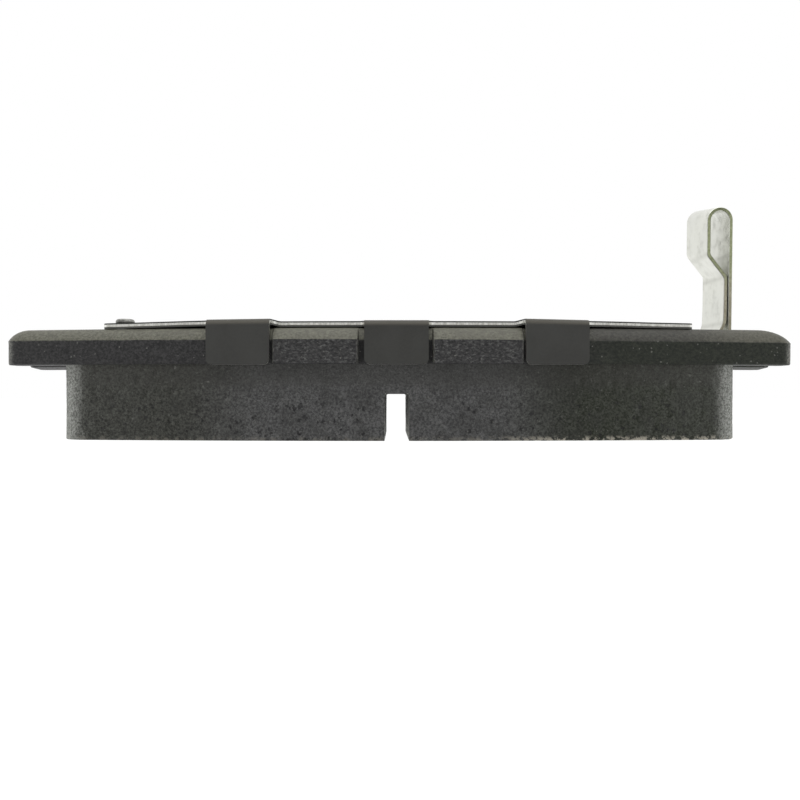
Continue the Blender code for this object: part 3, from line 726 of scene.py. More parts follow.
def shim_column(x):
    """The sheet's cross-section at x, from the end of an outer tab to the end of an inner one."""
    outer_tab = tab_at(x, OUTER_TABS)
    inner_tab = tab_at(x, INNER_TABS)
    rows = {}
    start = OUTER_EDGE_Y + bend_start()
    free = OUTER_EDGE_Y + SHIM_SETBACK
    near_y = start
    if outer_tab is None:
        near_y = free + (start - free) * relief(x, OUTER_TABS) + end_corner(x)
    else:
        for k, row in enumerate(tab_rows(x, outer_tab, OUTER_EDGE_Y, -1.0, shim_middle(x) + edge_lift(x))):
            rows[-1 - k] = row
    rows[0] = (near_y, shim_middle(x) + edge_lift(x), (0.0, 0.0, 1.0))
    edge = inner_edge(x)
    start = edge - bend_start()
    chamfer = inner_edge(SHIM_CHAMFER_X) - (abs(x) - SHIM_CHAMFER_X) * SHIM_CHAMFER_SLOPE
    free = min(edge - SHIM_SETBACK, chamfer)
    far_y = start
    if inner_tab is None:
        far_y = free + (start - free) * relief(x, INNER_TABS) - end_corner(x)
    else:
        for k, row in enumerate(tab_rows(x, inner_tab, edge, 1.0, shim_middle(x))):
            rows[FAR_ROW + 1 + k] = row
    for k, fade in enumerate(LIFT_FADES):
        lift = edge_lift(x) * (1.0 - smoothstep(fade / LIFT_FADES[-1]))
        rows[1 + k] = (near_y + fade, shim_middle(x) + lift, (0.0, 0.0, 1.0))
    rows[FAR_ROW] = (far_y, shim_middle(x), (0.0, 0.0, 1.0))
    return rows


def sheet_between(lower, upper):
    """A closed solid that follows the shim's middle surface between two offsets."""
    stations = shim_stations()
    points = []
    index = {}
    for column, x in enumerate(stations):
        for row, (y, z, normal) in shim_column(x).items():
            for skin, offset in enumerate((lower, upper)):
                index[column, row, skin] = len(points)
                moved = Vector((x, y, z)) + Vector(normal) * offset
                points.append(bowed(tuple(moved)))
    quads = []
    for column in range(len(stations) - 1):
        same_tab = {-1: False, 1: False}
        for side, tabs in ((-1, OUTER_TABS), (1, INNER_TABS)):
            here = tab_at(stations[column], tabs)
            same_tab[side] = here is not None and here == tab_at(stations[column + 1], tabs)
        first = -BEND_STEPS - 1 if same_tab[-1] else 0
        last = FAR_ROW + BEND_STEPS + 1 if same_tab[1] else FAR_ROW
        quads += [((column, row), (column + 1, row), (column + 1, row + 1), (column, row + 1))
                  for row in range(first, last)]
    faces = []
    borders = {}
    for quad in quads:
        for corner in ((0, 1, 2), (0, 2, 3)):
            faces.append(tuple(index[*quad[i], 1] for i in corner))
            faces.append(tuple(index[*quad[i], 0] for i in reversed(corner)))
        for i in range(4):
            edge = (quad[i], quad[(i + 1) % 4])
            if (edge[1], edge[0]) in borders:
                del borders[edge[1], edge[0]]
            else:
                borders[edge] = True
    for a, b in borders:
        faces.append((index[*a, 0], index[*b, 0], index[*b, 1], index[*a, 1]))
    return points, faces


def make_shim(rubber, inner_rubber, steel):
    half = STEEL_THICKNESS / 2.0
    skin = half + SKIN_GAP
    layers = (("shim_steel_sheet", "shim_core", "shim_steel", steel, -half, half),
              ("shim_black_coat", "shim_outer_rubber", "shim_rubber", rubber, skin, skin + RUBBER_THICKNESS),
              ("shim_inner_coat", "shim_inner_rubber", "shim_rubber", inner_rubber,
               -skin - INNER_COAT_THICKNESS, -skin))
    for name, node, slot, material, lower, upper in layers:
        points, faces = sheet_between(lower, upper)
        sheet = add_piece(name, points, faces, material)
        hole = (PLATE_TOP - CUT_MARGIN, PLATE_TOP + 4.0 * CUT_MARGIN)
        combined(sheet, [cylinder((EYELET_X, EYELET_Y), EYELET_HOLE_RADIUS, *hole)], "DIFFERENCE")
        finished(sheet, slot, node)


# Wear indicator

def yawed(point):
    """Turns a point about the vertical line at the foot of the leg, as the strip was riveted."""
    pivot = Vector((LEG_X, STRIP_NEAR_Y, 0.0))
    turned_point = Vector(point) - pivot
    turned_point.rotate(Matrix.Rotation(STRIP_YAW, 3, "Z"))
    return turned_point + pivot


def foot_height():
    """Height of the strip's middle surface on its foot."""
    return PLATE_TOP + LAYER_GAP + STRIP_THICKNESS / 2.0


def upright_line(x, z):
    """The strip's two edge points at (x, z) on its leaning part."""
    rise = z - foot_height() - FOOT_BEND
    near = Vector((x, STRIP_NEAR_Y - rise * math.tan(STRIP_LEAN), z))
    far = near + Vector((0.0, math.cos(STRIP_LEAN), math.sin(STRIP_LEAN))) * STRIP_WIDTH
    return near, far


def foot_line(x, z, run):
    """The strip's two edge points on its foot and bend; run is the path length below the leg."""
    near = Vector((x, STRIP_NEAR_Y + run * math.tan(STRIP_LEAN), z))
    far = near + Vector((0.0, STRIP_WIDTH / math.cos(STRIP_LEAN), 0.0))
    return near, far


def rounded_end(line, from_end, radius):
    """Draws the two edge points together near a rounded end."""
    if from_end >= radius:
        return line
    near, far = line
    step = (far - near).normalized() * corner_setback(from_end, radius)
    return near + step, far - step


def rounded_path(path, radius):
    """Rounds the inner corners of an open x-z path."""
    points = [path[0]]
    for back, here, ahead in zip(path, path[1:], path[2:]):
        corner = Vector(here)
        to_back = (Vector(back) - corner).normalized()
        to_ahead = (Vector(ahead) - corner).normalized()
        reach = radius / math.tan(to_back.angle(to_ahead) / 2.0)
        for k in range(KINK_STEPS + 1):
            t = k / KINK_STEPS
            a = corner + to_back * reach * (1.0 - t) ** 2
            points.append(tuple(a + to_ahead * reach * t ** 2))
    points.append(path[-1])
    return points


def path_normals(path):
    """Unit normals of an x-z path, to the right of its direction."""
    normals = []
    for i in range(len(path)):
        along = Vector(path[min(i + 1, len(path) - 1)]) - Vector(path[max(i - 1, 0)])
        normals.append(Vector((along.y, 0.0, -along.x)).normalized())
    return normals


def strip_ring(line, normal):
    """A cross-section of the strip, a flat rectangle whose four long edges are slightly broken."""
    near, far = line
    half = normal * STRIP_THICKNESS / 2.0
    side = (far - near).normalized() * STRIP_EDGE_BREAK
    edge = normal * STRIP_EDGE_BREAK
    ring = [near - half + side, near - half + edge, near + half - edge, near + half + side,
            far + half - side, far + half - edge, far - half + edge, far - half - side]
    return [tuple(yawed(point)) for point in ring]


def strip_path():
    """The strip's edge-point pairs and its x-z path, from the foot's end to the feeler's tip."""
    foot_z = foot_height()
    bend_x = LEG_X - FOOT_BEND
    bend_run = FOOT_BEND * math.pi / 2.0
    foot_length = bend_x - FOOT_END_X
    lines = []
    path = []
    for from_end in FOOT_RUNS:
        x = FOOT_END_X + from_end
        line = foot_line(x, foot_z, bend_run + foot_length - from_end)
        lines.append(rounded_end(line, from_end, FOOT_CORNER))
        path.append((x, foot_z))
    for k in range(FOOT_BEND_STEPS + 1):
        angle = math.radians(90.0 * k / FOOT_BEND_STEPS)
        x = bend_x + FOOT_BEND * math.sin(angle)
        z = foot_z + FOOT_BEND * (1.0 - math.cos(angle))
        lines.append(foot_line(x, z, bend_run * (1.0 - k / FOOT_BEND_STEPS)))
        path.append((x, z))
    wall_x = LOOP_CENTRE[0] - LOOP_RADIUS
    leg_foot = (LEG_X - LEG_START_SHIFT, foot_z + FOOT_BEND + LEG_START_RISE)
    upright = rounded_path([leg_foot, LEG_TOP, KINK_HIGH, (wall_x, LOOP_CENTRE[1])], KINK_RADIUS)
    upright += arc(*LOOP_CENTRE, LOOP_RADIUS, 180.0, 0.0, LOOP_STEPS)[1:]
    start = Vector(upright[-1])
    end = Vector(TIP)
    shares = [k / LEG_STEPS for k in range(1, LEG_STEPS)]
    shares += [1.0 - run / (start.y - end.y) for run in TIP_RUNS]
    upright += [tuple(start.lerp(end, share)) for share in shares]
    for x, z in upright:
        lines.append(rounded_end(upright_line(x, z), z - TIP[1], TIP_CORNER))
        path.append((x, z))
    return lines, path


def blend_points():
    """Two points across the gap between the strip's inner leg and its feeler leg."""
    hinge = upright_line(LOOP_CENTRE[0] + LOOP_RADIUS, LOOP_CENTRE[1])[0]
    slope = (TIP[0] - hinge.x) / (hinge.z - TIP[1])
    across = Vector((1.0, -slope * math.sin(STRIP_LEAN), slope * math.cos(STRIP_LEAN))).normalized()
    return [yawed(hinge + across * offset) * MM for offset in BLEND_OFFSETS]


def make_wear_strip(material):
    lines, path = strip_path()
    rings = [strip_ring(line, normal) for line, normal in zip(lines, path_normals(path))]
    points, faces = stacked(rings)
    strip = add_piece("wear_indicator_spring", points, faces, material, MOULDED_SMOOTH)
    hole = (PLATE_TOP - CUT_MARGIN, PLATE_TOP + 3.0 * CUT_MARGIN)
    tool = cylinder(wear_rivet_centre(), WEAR_HOLE_RADIUS, *hole)
    combined(strip, [tool], "DIFFERENCE", MOULDED_SMOOTH)
    start, end = blend_points()
    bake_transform(strip)
    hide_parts("wear_indicator_strip", "wear_indicator_feeler")


def wear_rivet_centre():
    foot_run = FOOT_BEND * math.pi / 2.0 + LEG_X - FOOT_BEND - WEAR_RIVET_X
    near, far = foot_line(WEAR_RIVET_X, 0.0, foot_run)
    centre = yawed((near + far) / 2.0)
    return centre.x, centre.y


def make_wear_rivet(material):
    """A domed head on the strip's foot, a shank through the plate and a sunk tail below."""
    seat = PLATE_TOP + LAYER_GAP + STRIP_THICKNESS + LAYER_GAP
    tail = PLATE_BOTTOM + TAIL_RECESS
    neck_z = PLATE_BOTTOM + WEAR_TAIL_DEPTH
    dome_z = seat + RIVET_RIM_HEIGHT
    dome_height = RIVET_HEAD_HEIGHT - RIVET_RIM_HEIGHT
    profile = [(WEAR_TAIL_RADIUS - TAIL_BREAK, tail), (WEAR_TAIL_RADIUS, tail + TAIL_BREAK),
               (WEAR_TAIL_RADIUS, neck_z - 0.4), (WEAR_SHANK_RADIUS, neck_z + 0.1),
               (WEAR_SHANK_RADIUS, seat), (RIVET_HEAD_RADIUS - RIVET_EDGE_BREAK, seat),
               (RIVET_HEAD_RADIUS, seat + RIVET_EDGE_BREAK), (RIVET_HEAD_RADIUS, dome_z)]
    for k in range(1, RIVET_DOME_STEPS):
        angle = math.radians(90.0 * k / RIVET_DOME_STEPS)
        profile.append((RIVET_HEAD_RADIUS * math.cos(angle), dome_z + dome_height * math.sin(angle)))
    points, faces = spun(profile, wear_rivet_centre())
    rivet = add_piece("wear_indicator_rivet_head", points, faces, material)
    finished(rivet, "rivet_steel", "wear_indicator_rivet")


def make_shim_eyelet(material):
    """A tubular rivet with a rolled rim on top and a flat foot below."""
    eyelet_low, eyelet_high = box_mm("shim_eyelet")
    bottom = eyelet_low.z
    foot_top = bottom + EYELET_FOOT_HEIGHT
    rim = eyelet_high.z - EYELET_RIM_HEIGHT
    roll_z = rim + EYELET_RIM_HEIGHT - EYELET_ROLL_RADIUS
    tube = EYELET_HOLE_RADIUS - EYELET_PLAY
    bore = EYELET_BORE_RADIUS
    profile = [(bore, bottom), (EYELET_FOOT_RADIUS - EYELET_FOOT_BREAK, bottom),
               (EYELET_FOOT_RADIUS, bottom + EYELET_FOOT_BREAK), (EYELET_FOOT_RADIUS, foot_top),
               (tube, foot_top), (tube, rim), (EYELET_RIM_RADIUS, rim)]
    profile += arc(tube, roll_z, EYELET_ROLL_RADIUS, -20.0, 90.0, 10)
    profile += [(0.88, rim + 0.72), (0.72, rim + 0.62), (0.62, rim + 0.5), (bore, roll_z)]
    points, faces = turned(profile, (EYELET_X, EYELET_Y))
    eyelet = add_piece("shim_eyelet_rim", points, faces, material)
    finished(eyelet, "eyelet_steel", "shim_eyelet")


# Materials

# Where tones start and stop changing, along the object's axes
BLOCK_LIGHT_SIDE = (-36.0, -20.0)
BLOCK_GREEN_SIDE = (12.0, 30.0)
BAND_LIGHT_START = (-36.0, -16.0)
BAND_LIGHT_END = (30.0, 12.0)
UPPER_BAND = (7.5, 9.5)
PITTED_BAND = (8.5, 4.5)
CRUMB_BAND = (0.95, 0.25)
CRUMB_SIDE = (8.0, 30.0)
LUGS_START = (-24.0, -18.0)
LUGS_END = (22.0, 16.0)
SHADED_RECESS = (-26.75, -26.5)
PLATE_GREEN_SIDE = (18.0, 36.0)
ROLL_DARK_SIDE = (24.0, 32.0)
ROLL_LIGHT_SIDE = (42.0, 58.0)
PLATE_ENDS = (50.0, 56.0)
SPRING_OLIVE_ABOVE = (26.0, 33.0)
CREASE_SHADE_HEIGHTS = (21.0, 29.8, 34.0)
CREASE_SHADE_WIDTH = (1.2, 0.3)
CREASE_SHADE_WANDER = 0.8

# Soft thresholds of the noises
GRAINS = (0.36, 0.66)
EDGE_GRAINS = (0.38, 0.66)
FINE_GRAINS = (0.35, 0.65)
END_GRAINS = (0.40, 0.60)


class Nodes:
    """A short way to add nodes to a tree; a socket given as a value is linked."""

    def __init__(self, tree):
        self.tree = tree

    def add(self, kind, values=None, **settings):
        node = self.tree.nodes.new(kind)
        for key, value in settings.items():
            setattr(node, key, value)
        for key, value in (values or {}).items():
            self.put(node.inputs[key], value)
        return node

    def put(self, socket, value):
        if isinstance(value, bpy.types.NodeSocket):
            self.tree.links.new(value, socket)
        else:
            socket.default_value = value

    def ramp(self, value, low, high, to_low=0.0, to_high=1.0):
        values = {"Value": value, "From Min": low, "From Max": high, "To Min": to_low, "To Max": to_high}
        node = self.add("ShaderNodeMapRange", values, interpolation_type="SMOOTHSTEP")
        return node.outputs["Result"]


class Shader(Nodes):
    """A Principled material whose tones and bumps follow the object's own coordinates."""

    def __init__(self, name, roughness, metallic=0.0, specular=0.5):
        self.material = bpy.data.materials.new(name)
        self.material.use_nodes = True
        super().__init__(self.material.node_tree)
        self.out = self.tree.nodes["Principled BSDF"]
        self.out.inputs["Roughness"].default_value = roughness
        self.out.inputs["Metallic"].default_value = metallic
        self.out.inputs["Specular IOR Level"].default_value = specular
        self.place = self.add("ShaderNodeTexCoord").outputs["Object"]

    def texture(self, kind, size, place=None, **values):
        """A texture node whose features are about size millimetres across."""
        return self.add(kind, {"Vector": place or self.place, "Scale": 1.0 / (size * MM), **values})

    def noise(self, size, detail=3.0, rough=0.55, place=None):
        node = self.texture("ShaderNodeTexNoise", size, place, Detail=detail, Roughness=rough)
        return node.outputs["Fac"]

    def spots(self, size, place, edge, share):
        """Scattered spots: the middles of some cells, with soft limits for distance and chance."""
        cells = self.texture("ShaderNodeTexVoronoi", size, place)
        chance = self.add("ShaderNodeSeparateColor", {0: cells.outputs["Color"]}).outputs[0]
        return self.times(self.ramp(cells.outputs["Distance"], *edge), self.ramp(chance, *share))

    def vector(self, operation, a, b):
        return self.add("ShaderNodeVectorMath", {0: a, 1: b}, operation=operation).outputs[0]

    def warped(self, size, amount):
        """The surface coordinates pushed about by noise, in millimetres, so that spots come out ragged."""
        push = self.texture("ShaderNodeTexNoise", size, Detail=2.0).outputs["Color"]
        centred = self.vector("SUBTRACT", push, (0.5, 0.5, 0.5))
        scaled = self.add("ShaderNodeVectorMath", {0: centred}, operation="SCALE")
        scaled.inputs["Scale"].default_value = amount * MM
        return self.vector("ADD", self.place, scaled.outputs[0])

    def stretched(self, x, y, z):
        """The surface coordinates scaled along each axis, for streaks."""
        return self.vector("MULTIPLY", self.place, (x, y, z))

    def math(self, operation, a, b=0.0):
        return self.add("ShaderNodeMath", {0: a, 1: b}, operation=operation).outputs[0]

    def times(self, a, b):
        return self.math("MULTIPLY", a, b)

    def mix(self, share, a, b):
        a, b = (tone if isinstance(tone, bpy.types.NodeSocket) else (*tone, 1.0) for tone in (a, b))
        return self.add("ShaderNodeMix", {0: share, 6: a, 7: b}, data_type="RGBA").outputs[2]

    def mottled(self, pattern, limits, dark, light):
        """Two tones mixed by a noise pattern, with soft limits."""
        return self.mix(self.ramp(pattern, *limits), dark, light)

    def painted(self, base, mask, strength, tone):
        """The base with a tone laid over it where the mask is."""
        return self.mix(self.times(mask, strength), base, tone)

    def axis(self, name):
        return self.add("ShaderNodeSeparateXYZ", {0: self.place}).outputs[name]

    def along(self, name, limits, to_low=0.0, to_high=1.0):
        """A soft change along one of the object's axes, between two places in millimetres."""
        return self.ramp(self.axis(name), limits[0] * MM, limits[1] * MM, to_low, to_high)

    def facing(self, name):
        """A component of the surface's own normal in the object's frame."""
        normal = self.add("ShaderNodeTexCoord").outputs["Normal"]
        return self.add("ShaderNodeSeparateXYZ", {0: normal}).outputs[name]

    def sideways(self, name):
        """How squarely the surface faces either way along an axis."""
        return self.math("ABSOLUTE", self.facing(name))

    def colour(self, value):
        self.put(self.out.inputs["Base Color"], value)

    def roughness(self, value):
        self.put(self.out.inputs["Roughness"], value)

    def bump(self, height, distance):
        """Adds a bump of that height in millimetres on top of the earlier ones."""
        node = self.add("ShaderNodeBump", {"Height": height, "Distance": distance * MM})
        earlier = self.out.inputs["Normal"]
        if earlier.links:
            self.put(node.inputs["Normal"], earlier.links[0].from_socket)
        self.put(earlier, node.outputs["Normal"])


def moulding_tones(s, grain, fine):
    """The block's greys: dark at the left, lighter in the middle, greenish right, smoother at the top."""
    left = s.mottled(grain, GRAINS, (0.015, 0.0155, 0.013), (0.063, 0.064, 0.055))
    middle = s.mottled(grain, GRAINS, (0.036, 0.036, 0.037), (0.130, 0.130, 0.128))
    right = s.mottled(grain, GRAINS, (0.011, 0.013, 0.008), (0.049, 0.053, 0.041))
    base = s.mix(s.along("X", BLOCK_LIGHT_SIDE), left, middle)
    base = s.mix(s.along("X", BLOCK_GREEN_SIDE), base, right)
    broad = s.noise(5.0, 5.0, 0.6)
    base = s.mix(s.ramp(broad, 0.44, 0.60, 0.0, 0.35), base, (0.030, 0.030, 0.028))
    outer_tone = s.mottled(fine, FINE_GRAINS, (0.026, 0.026, 0.023), (0.048, 0.047, 0.042))
    middle_tone = s.mottled(fine, FINE_GRAINS, (0.038, 0.038, 0.036), (0.078, 0.078, 0.074))
    central = s.times(s.along("X", BAND_LIGHT_START), s.along("X", BAND_LIGHT_END))
    upper_tone = s.mix(central, outer_tone, middle_tone)
    return s.mix(s.along("Z", UPPER_BAND, 0.0, 0.6), base, upper_tone)


def friction_material():
    """Moulded friction material: fine grains, a few chips, pits painted near-black as the shade inside them,
    end faces painted pale as dust and as a painted highlight of the side light, and a crumbly lower edge.
    """
    s = Shader("friction_material", 0.85, specular=0.2)
    grain = s.noise(0.36, 6.0, 0.8)
    fine = s.noise(0.2, 3.0, 0.7)
    base = moulding_tones(s, grain, fine)
    ragged = s.warped(0.5, 0.9)
    chip = s.spots(0.9, ragged, (0.30, 0.10), (0.91, 0.94))
    base = s.painted(base, chip, 0.5, (0.17, 0.17, 0.155))
    speck = s.spots(0.4, ragged, (0.34, 0.16), (0.84, 0.88))
    base = s.painted(base, speck, 0.4, (0.14, 0.14, 0.13))
    pit = s.spots(0.9, s.warped(0.6, 1.2), (0.40, 0.20), (0.70, 0.76))
    pit = s.times(pit, s.along("Z", PITTED_BAND, 0.1, 1.0))
    # Painted shade: the pits are painted near-black as the shade inside them; the same mask also sinks them
    # as a bump.
    base = s.painted(base, pit, 0.7, (0.012, 0.012, 0.013))
    # Painted highlight and dust: faces turned towards ±X are painted pale, partly dust and partly the
    # highlight that the rounded ends catch from the side.
    dust_and_side_highlight = s.mottled(grain, END_GRAINS, (0.140, 0.143, 0.130), (0.470, 0.480, 0.450))
    base = s.painted(base, s.ramp(s.sideways("X"), 0.02, 0.80), 0.9, dust_and_side_highlight)
    crumb = s.times(s.along("Z", CRUMB_BAND), s.ramp(s.noise(1.0, 6.0, 0.72), 0.47, 0.56))
    crumb = s.times(crumb, s.along("X", CRUMB_SIDE, 0.2, 1.0))
    s.colour(s.painted(base, crumb, 0.9, (0.36, 0.335, 0.28)))
    s.bump(grain, 0.16)
    s.bump(fine, 0.05)
    s.bump(s.times(pit, -1.0), 0.15)
    s.bump(chip, 0.04)
    return s.material


def sheared_wall_tones(s, grain, torn):
    """The plate's sheared wall: flaked on the lugs, painted shade on the recessed wall between them, greenish
    right, with bright specks.
    """
    edge = s.mottled(grain, EDGE_GRAINS, (0.007, 0.007, 0.0075), (0.046, 0.045, 0.045))
    edge = s.mix(s.ramp(torn, 0.50, 0.62, 0.0, 0.4), edge, (0.018, 0.018, 0.018))
    lugs = s.times(s.along("X", LUGS_START), s.along("X", LUGS_END))
    flakes = s.ramp(s.noise(0.34, 6.0, 0.75, s.stretched(0.55, 0.55, 1.1)), 0.48, 0.64)
    edge = s.painted(edge, s.times(lugs, flakes), 0.60, (0.135, 0.135, 0.131))
    green = s.mottled(grain, EDGE_GRAINS, (0.004, 0.006, 0.003), (0.027, 0.031, 0.021))
    edge = s.mix(s.along("X", PLATE_GREEN_SIDE), edge, green)
    # Painted shade: the wall set back between the lugs, beside and under the shim's tabs, is painted
    # near-black.
    edge = s.painted(edge, s.times(s.along("Y", SHADED_RECESS), lugs), 0.8, (0.006, 0.006, 0.006))
    speck = s.spots(0.5, s.warped(0.4, 0.4), (0.34, 0.14), (0.90, 0.93))
    return s.painted(edge, speck, 0.5, (0.22, 0.22, 0.20))


def rolled_top_tones_and_top_light(s, grain):
    """The plate's rolled edge and back: mottled grey-brown, painted much lighter than the wall, partly a
    smoother finish and partly painted light from above, with a darker stretch near the right end.
    """
    top = s.mottled(grain, GRAINS, (0.078, 0.077, 0.059), (0.172, 0.170, 0.134))
    top = s.mix(s.ramp(s.noise(5.0, 4.0), 0.42, 0.66, 0.0, 0.35), top, (0.084, 0.081, 0.066))
    darker = s.mottled(grain, GRAINS, (0.027, 0.026, 0.022), (0.072, 0.070, 0.060))
    top = s.mix(s.along("X", ROLL_DARK_SIDE), top, darker)
    lighter = s.mottled(grain, GRAINS, (0.072, 0.070, 0.053), (0.135, 0.132, 0.105))
    return s.mix(s.along("X", ROLL_LIGHT_SIDE, 0.0, 0.85), top, lighter)


def plate_material():
    """Thin dark coating over stamped steel: a smoother rolled top painted lighter, partly as painted light
    from above, a grainy sheared wall and lighter end faces.
    """
    s = Shader("plate_coating", 0.55, specular=0.3)
    up = s.facing("Z")
    grain = s.noise(0.36, 6.0, 0.75, s.stretched(0.8, 0.8, 1.0))
    torn = s.noise(0.9, 5.0, 0.7, s.stretched(0.5, 0.5, 1.4))
    # Painted light: surfaces that face up get the much lighter rolled-top tones, partly a smoother finish and
    # partly light from above.
    base = s.mix(s.ramp(up, 0.08, 0.30), sheared_wall_tones(s, grain, torn), rolled_top_tones_and_top_light(s, grain))
    # Faces turned towards either end, near the plate's ends, are painted lighter.
    near_end = s.ramp(s.math("ABSOLUTE", s.axis("X")), PLATE_ENDS[0] * MM, PLATE_ENDS[1] * MM, 0.35, 1.0)
    ends = s.times(s.ramp(s.sideways("X"), 0.30, 0.9), near_end)
    end_tone = s.mottled(grain, END_GRAINS, (0.060, 0.060, 0.052), (0.30, 0.30, 0.27))
    s.colour(s.painted(base, ends, 0.8, end_tone))
    s.roughness(s.ramp(grain, 0.3, 0.7, 0.48, 0.66))
    rough_part = s.ramp(up, 0.08, 0.30, 1.0, 0.35)
    s.bump(s.times(grain, rough_part), 0.16)
    s.bump(s.times(torn, rough_part), 0.10)
    return s.material


def rubber_material(name, tone):
    """Satin black rubber bonded to the shim, with its bends painted a lighter brown as the light they catch.
    """
    s = Shader(name, 0.5, specular=0.35)
    cloud = s.noise(7.0, 4.0)
    grain = s.noise(0.35, 3.0)
    fold_light = s.times(s.ramp(s.facing("Z"), 0.15, 0.55), s.ramp(s.facing("Z"), 0.995, 0.93))
    tones = ((0.029, 0.029, 0.026), (0.035, 0.035, 0.032), (0.040, 0.040, 0.037), (0.066, 0.058, 0.040))
    dark, light, grains, brown = ([tone * c for c in colour] for colour in tones)
    base = s.mottled(cloud, (0.38, 0.66), dark, light)
    base = s.mix(s.ramp(grain, 0.3, 0.7, 0.0, 0.35), base, grains)
    # Painted light: the bends, between facing up and facing out, are painted a lighter brown.
    s.colour(s.painted(base, fold_light, 0.6, brown))
    s.roughness(s.ramp(cloud, 0.35, 0.65, 0.46, 0.56))
    s.bump(grain, 0.008)
    s.bump(s.noise(4.0, 2.0), 0.04)
    return s.material


def sheared_steel_material():
    """Bare sheared edge of the shim's steel sheet."""
    s = Shader("shim_steel", 0.36, metallic=1.0)
    streaks = s.noise(0.35, 3.0, 0.6, s.stretched(1.0, 1.0, 0.3))
    s.colour(s.mottled(streaks, (0.3, 0.7), (0.62, 0.62, 0.57), (0.92, 0.92, 0.87)))
    s.bump(streaks, 0.02)
    return s.material


def spring_material():
    """Bright tumbled spring steel with faint stains, painted shade along faint creases, and olive and brown
    sheared edges.
    """
    s = Shader("spring_steel", 0.34, metallic=1.0)
    stain = s.noise(1.8, 5.0, 0.65)
    brushed = s.noise(0.5, 3.0, 0.6, s.stretched(1.0, 1.0, 0.12))
    base = s.mix(s.ramp(stain, 0.50, 0.72, 0.0, 0.38), (0.66, 0.665, 0.61), (0.44, 0.44, 0.40))
    base = s.mix(s.ramp(s.noise(9.0, 3.0), 0.4, 0.65, 0.0, 0.25), base, (0.57, 0.575, 0.55))
    # Painted shade: darker bands at three heights stand in for the shade along faint creases.
    for height in CREASE_SHADE_HEIGHTS:
        near = s.math("ABSOLUTE", s.math("SUBTRACT", s.axis("Z"), height * MM))
        near = s.math("ADD", near, s.times(stain, CREASE_SHADE_WANDER * MM))
        wide, narrow = CREASE_SHADE_WIDTH
        base = s.mix(s.ramp(near, wide * MM, narrow * MM, 0.0, 0.32), base, (0.30, 0.30, 0.26))
    streaks = s.noise(0.5, 3.0, 0.6)
    brown = s.mottled(streaks, (0.3, 0.7), (0.24, 0.225, 0.165), (0.36, 0.34, 0.26))
    olive = s.mottled(streaks, (0.3, 0.7), (0.24, 0.265, 0.155), (0.35, 0.375, 0.235))
    edge = s.mix(s.along("Z", SPRING_OLIVE_ABOVE), brown, olive)
    s.colour(s.mix(s.ramp(s.sideways("Y"), 0.75, 0.9), base, edge))
    s.roughness(s.ramp(stain, 0.35, 0.7, 0.30, 0.46))
    s.bump(brushed, 0.006)
    return s.material


def rivet_material(name, dark, light, roughness):
    """Plain or dull plated steel, slightly mottled."""
    s = Shader(name, roughness, metallic=1.0)
    mottle = s.noise(0.8, 4.0, 0.6)
    s.colour(s.mottled(mottle, FINE_GRAINS, dark, light))
    s.roughness(s.ramp(mottle, 0.3, 0.7, roughness - 0.06, roughness + 0.08))
    s.bump(mottle, 0.02)
    return s.material


# Stage, light and camera

CAMERA_DISTANCE = 145.0
CAMERA_HEIGHT = 6.8
CAMERA_LENS = 42.4125
CAMERA_SHIFT = (0.000625, -0.00375)
SENSOR_WIDTH = 36.0
NEAREST_VIEW = 5.0
FARTHEST_VIEW = 20000.0
FRONT_LIGHT = 0.30
BACK_LIGHT = 1.1
LIGHT_TURNS = (-0.95, 0.15)
FLOOR_HALF_WIDTH = 3000.0
FLOOR_GAP = 0.1
FLOOR_MOTTLE = 200.0
FLOOR_GLOW = 1.0
SOFT_TOP_PLACE = (0.0, -150.0, 550.0)
SOFT_TOP_SIZE = (900.0, 500.0)
SOFT_TOP_POWER = 2.0


def add_camera():
    """A level camera, close to the pad's outer edge and just below the plate."""
    data = bpy.data.cameras.new("camera")
    data.sensor_width = SENSOR_WIDTH
    data.lens = CAMERA_LENS
    data.shift_x, data.shift_y = CAMERA_SHIFT
    data.clip_start = NEAREST_VIEW * MM
    data.clip_end = FARTHEST_VIEW * MM
    camera = bpy.data.objects.new("camera", data)
    camera.location = Vector((0.0, OUTER_EDGE_Y - CAMERA_DISTANCE, CAMERA_HEIGHT)) * MM
    camera.rotation_euler = (math.radians(90.0), 0.0, 0.0)
    bpy.context.scene.collection.objects.link(camera)
    bpy.context.scene.camera = camera


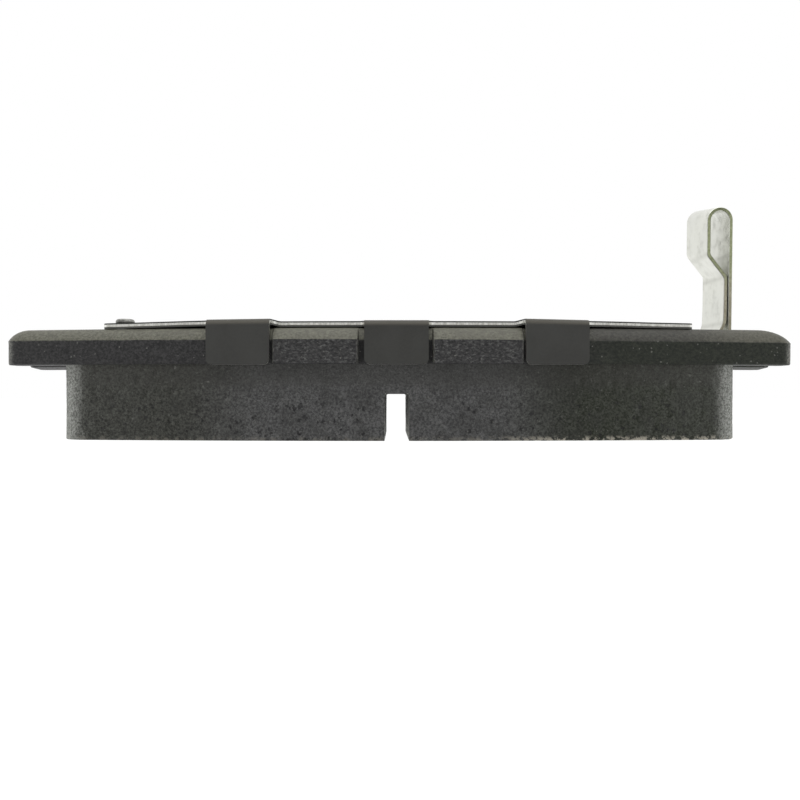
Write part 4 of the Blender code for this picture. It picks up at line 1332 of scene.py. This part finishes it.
def add_world():
    """A white studio that is dimmer on the camera's side and bright above, behind and at both ends."""
    world = bpy.data.worlds.new("studio")
    world.use_nodes = True
    bpy.context.scene.world = world
    nodes = Nodes(world.node_tree)
    background = nodes.tree.nodes["Background"]
    background.inputs["Color"].default_value = (1.0, 1.0, 1.0, 1.0)
    direction = nodes.add("ShaderNodeTexCoord").outputs["Generated"]
    away = nodes.add("ShaderNodeSeparateXYZ", {0: direction}).outputs["Y"]
    light = nodes.ramp(away, *LIGHT_TURNS, FRONT_LIGHT, BACK_LIGHT)
    seen = nodes.add("ShaderNodeLightPath").outputs["Is Camera Ray"]
    strength = nodes.add("ShaderNodeMix", {0: seen, 2: light, 3: 1.0}).outputs[0]
    nodes.put(background.inputs["Strength"], strength)


def add_soft_top():
    """A large soft light above the pad, turned towards it."""
    data = bpy.data.lights.new("soft_top", "AREA")
    data.shape = "RECTANGLE"
    data.size = SOFT_TOP_SIZE[0] * MM
    data.size_y = SOFT_TOP_SIZE[1] * MM
    data.energy = SOFT_TOP_POWER
    light = bpy.data.objects.new("soft_top", data)
    light.location = Vector(SOFT_TOP_PLACE) * MM
    light.rotation_euler = (-light.location).to_track_quat("-Z", "Y").to_euler()
    bpy.context.scene.collection.objects.link(light)


def add_floor():
    """A glowing white table, so that the pad stands on it with no shadow and no horizon."""
    s = Shader("floor_paper", 0.9, specular=0.0)
    s.colour(s.mix(s.noise(FLOOR_MOTTLE, 2.0), (0.16, 0.16, 0.16), (0.17, 0.17, 0.17)))
    s.out.inputs["Emission Strength"].default_value = FLOOR_GLOW
    half = FLOOR_HALF_WIDTH
    corners = [(-half, -half, 0.0), (half, -half, 0.0), (half, half, 0.0), (-half, half, 0.0)]
    floor = add_piece("floor", corners, [(0, 1, 2, 3)], s.material)
    floor.location.z = -FLOOR_GAP * MM


def set_stage():
    add_camera()
    add_world()
    add_floor()
    add_soft_top()
    bpy.context.scene.view_settings.view_transform = "Standard"


set_stage()
friction = friction_material()
make_backing_plate(plate_material())
make_friction_block(friction)
make_underlayer(friction)
make_wear_strip(spring_material())
make_wear_rivet(rivet_material("rivet_steel", (0.42, 0.42, 0.40), (0.60, 0.60, 0.57), 0.36))
make_shim_eyelet(rivet_material("eyelet_steel", (0.16, 0.16, 0.15), (0.32, 0.32, 0.30), 0.40))
outer_rubber = rubber_material("shim_rubber", 1.02)
# The inner coat gets 2.6 times the outer coat's tones: partly its greyish adhesive edge, partly painted light
# lifting the shade beneath the sheet.
inner_rubber = rubber_material("shim_inner_rubber", 2.6)
make_shim(outer_rubber, inner_rubber, sheared_steel_material())
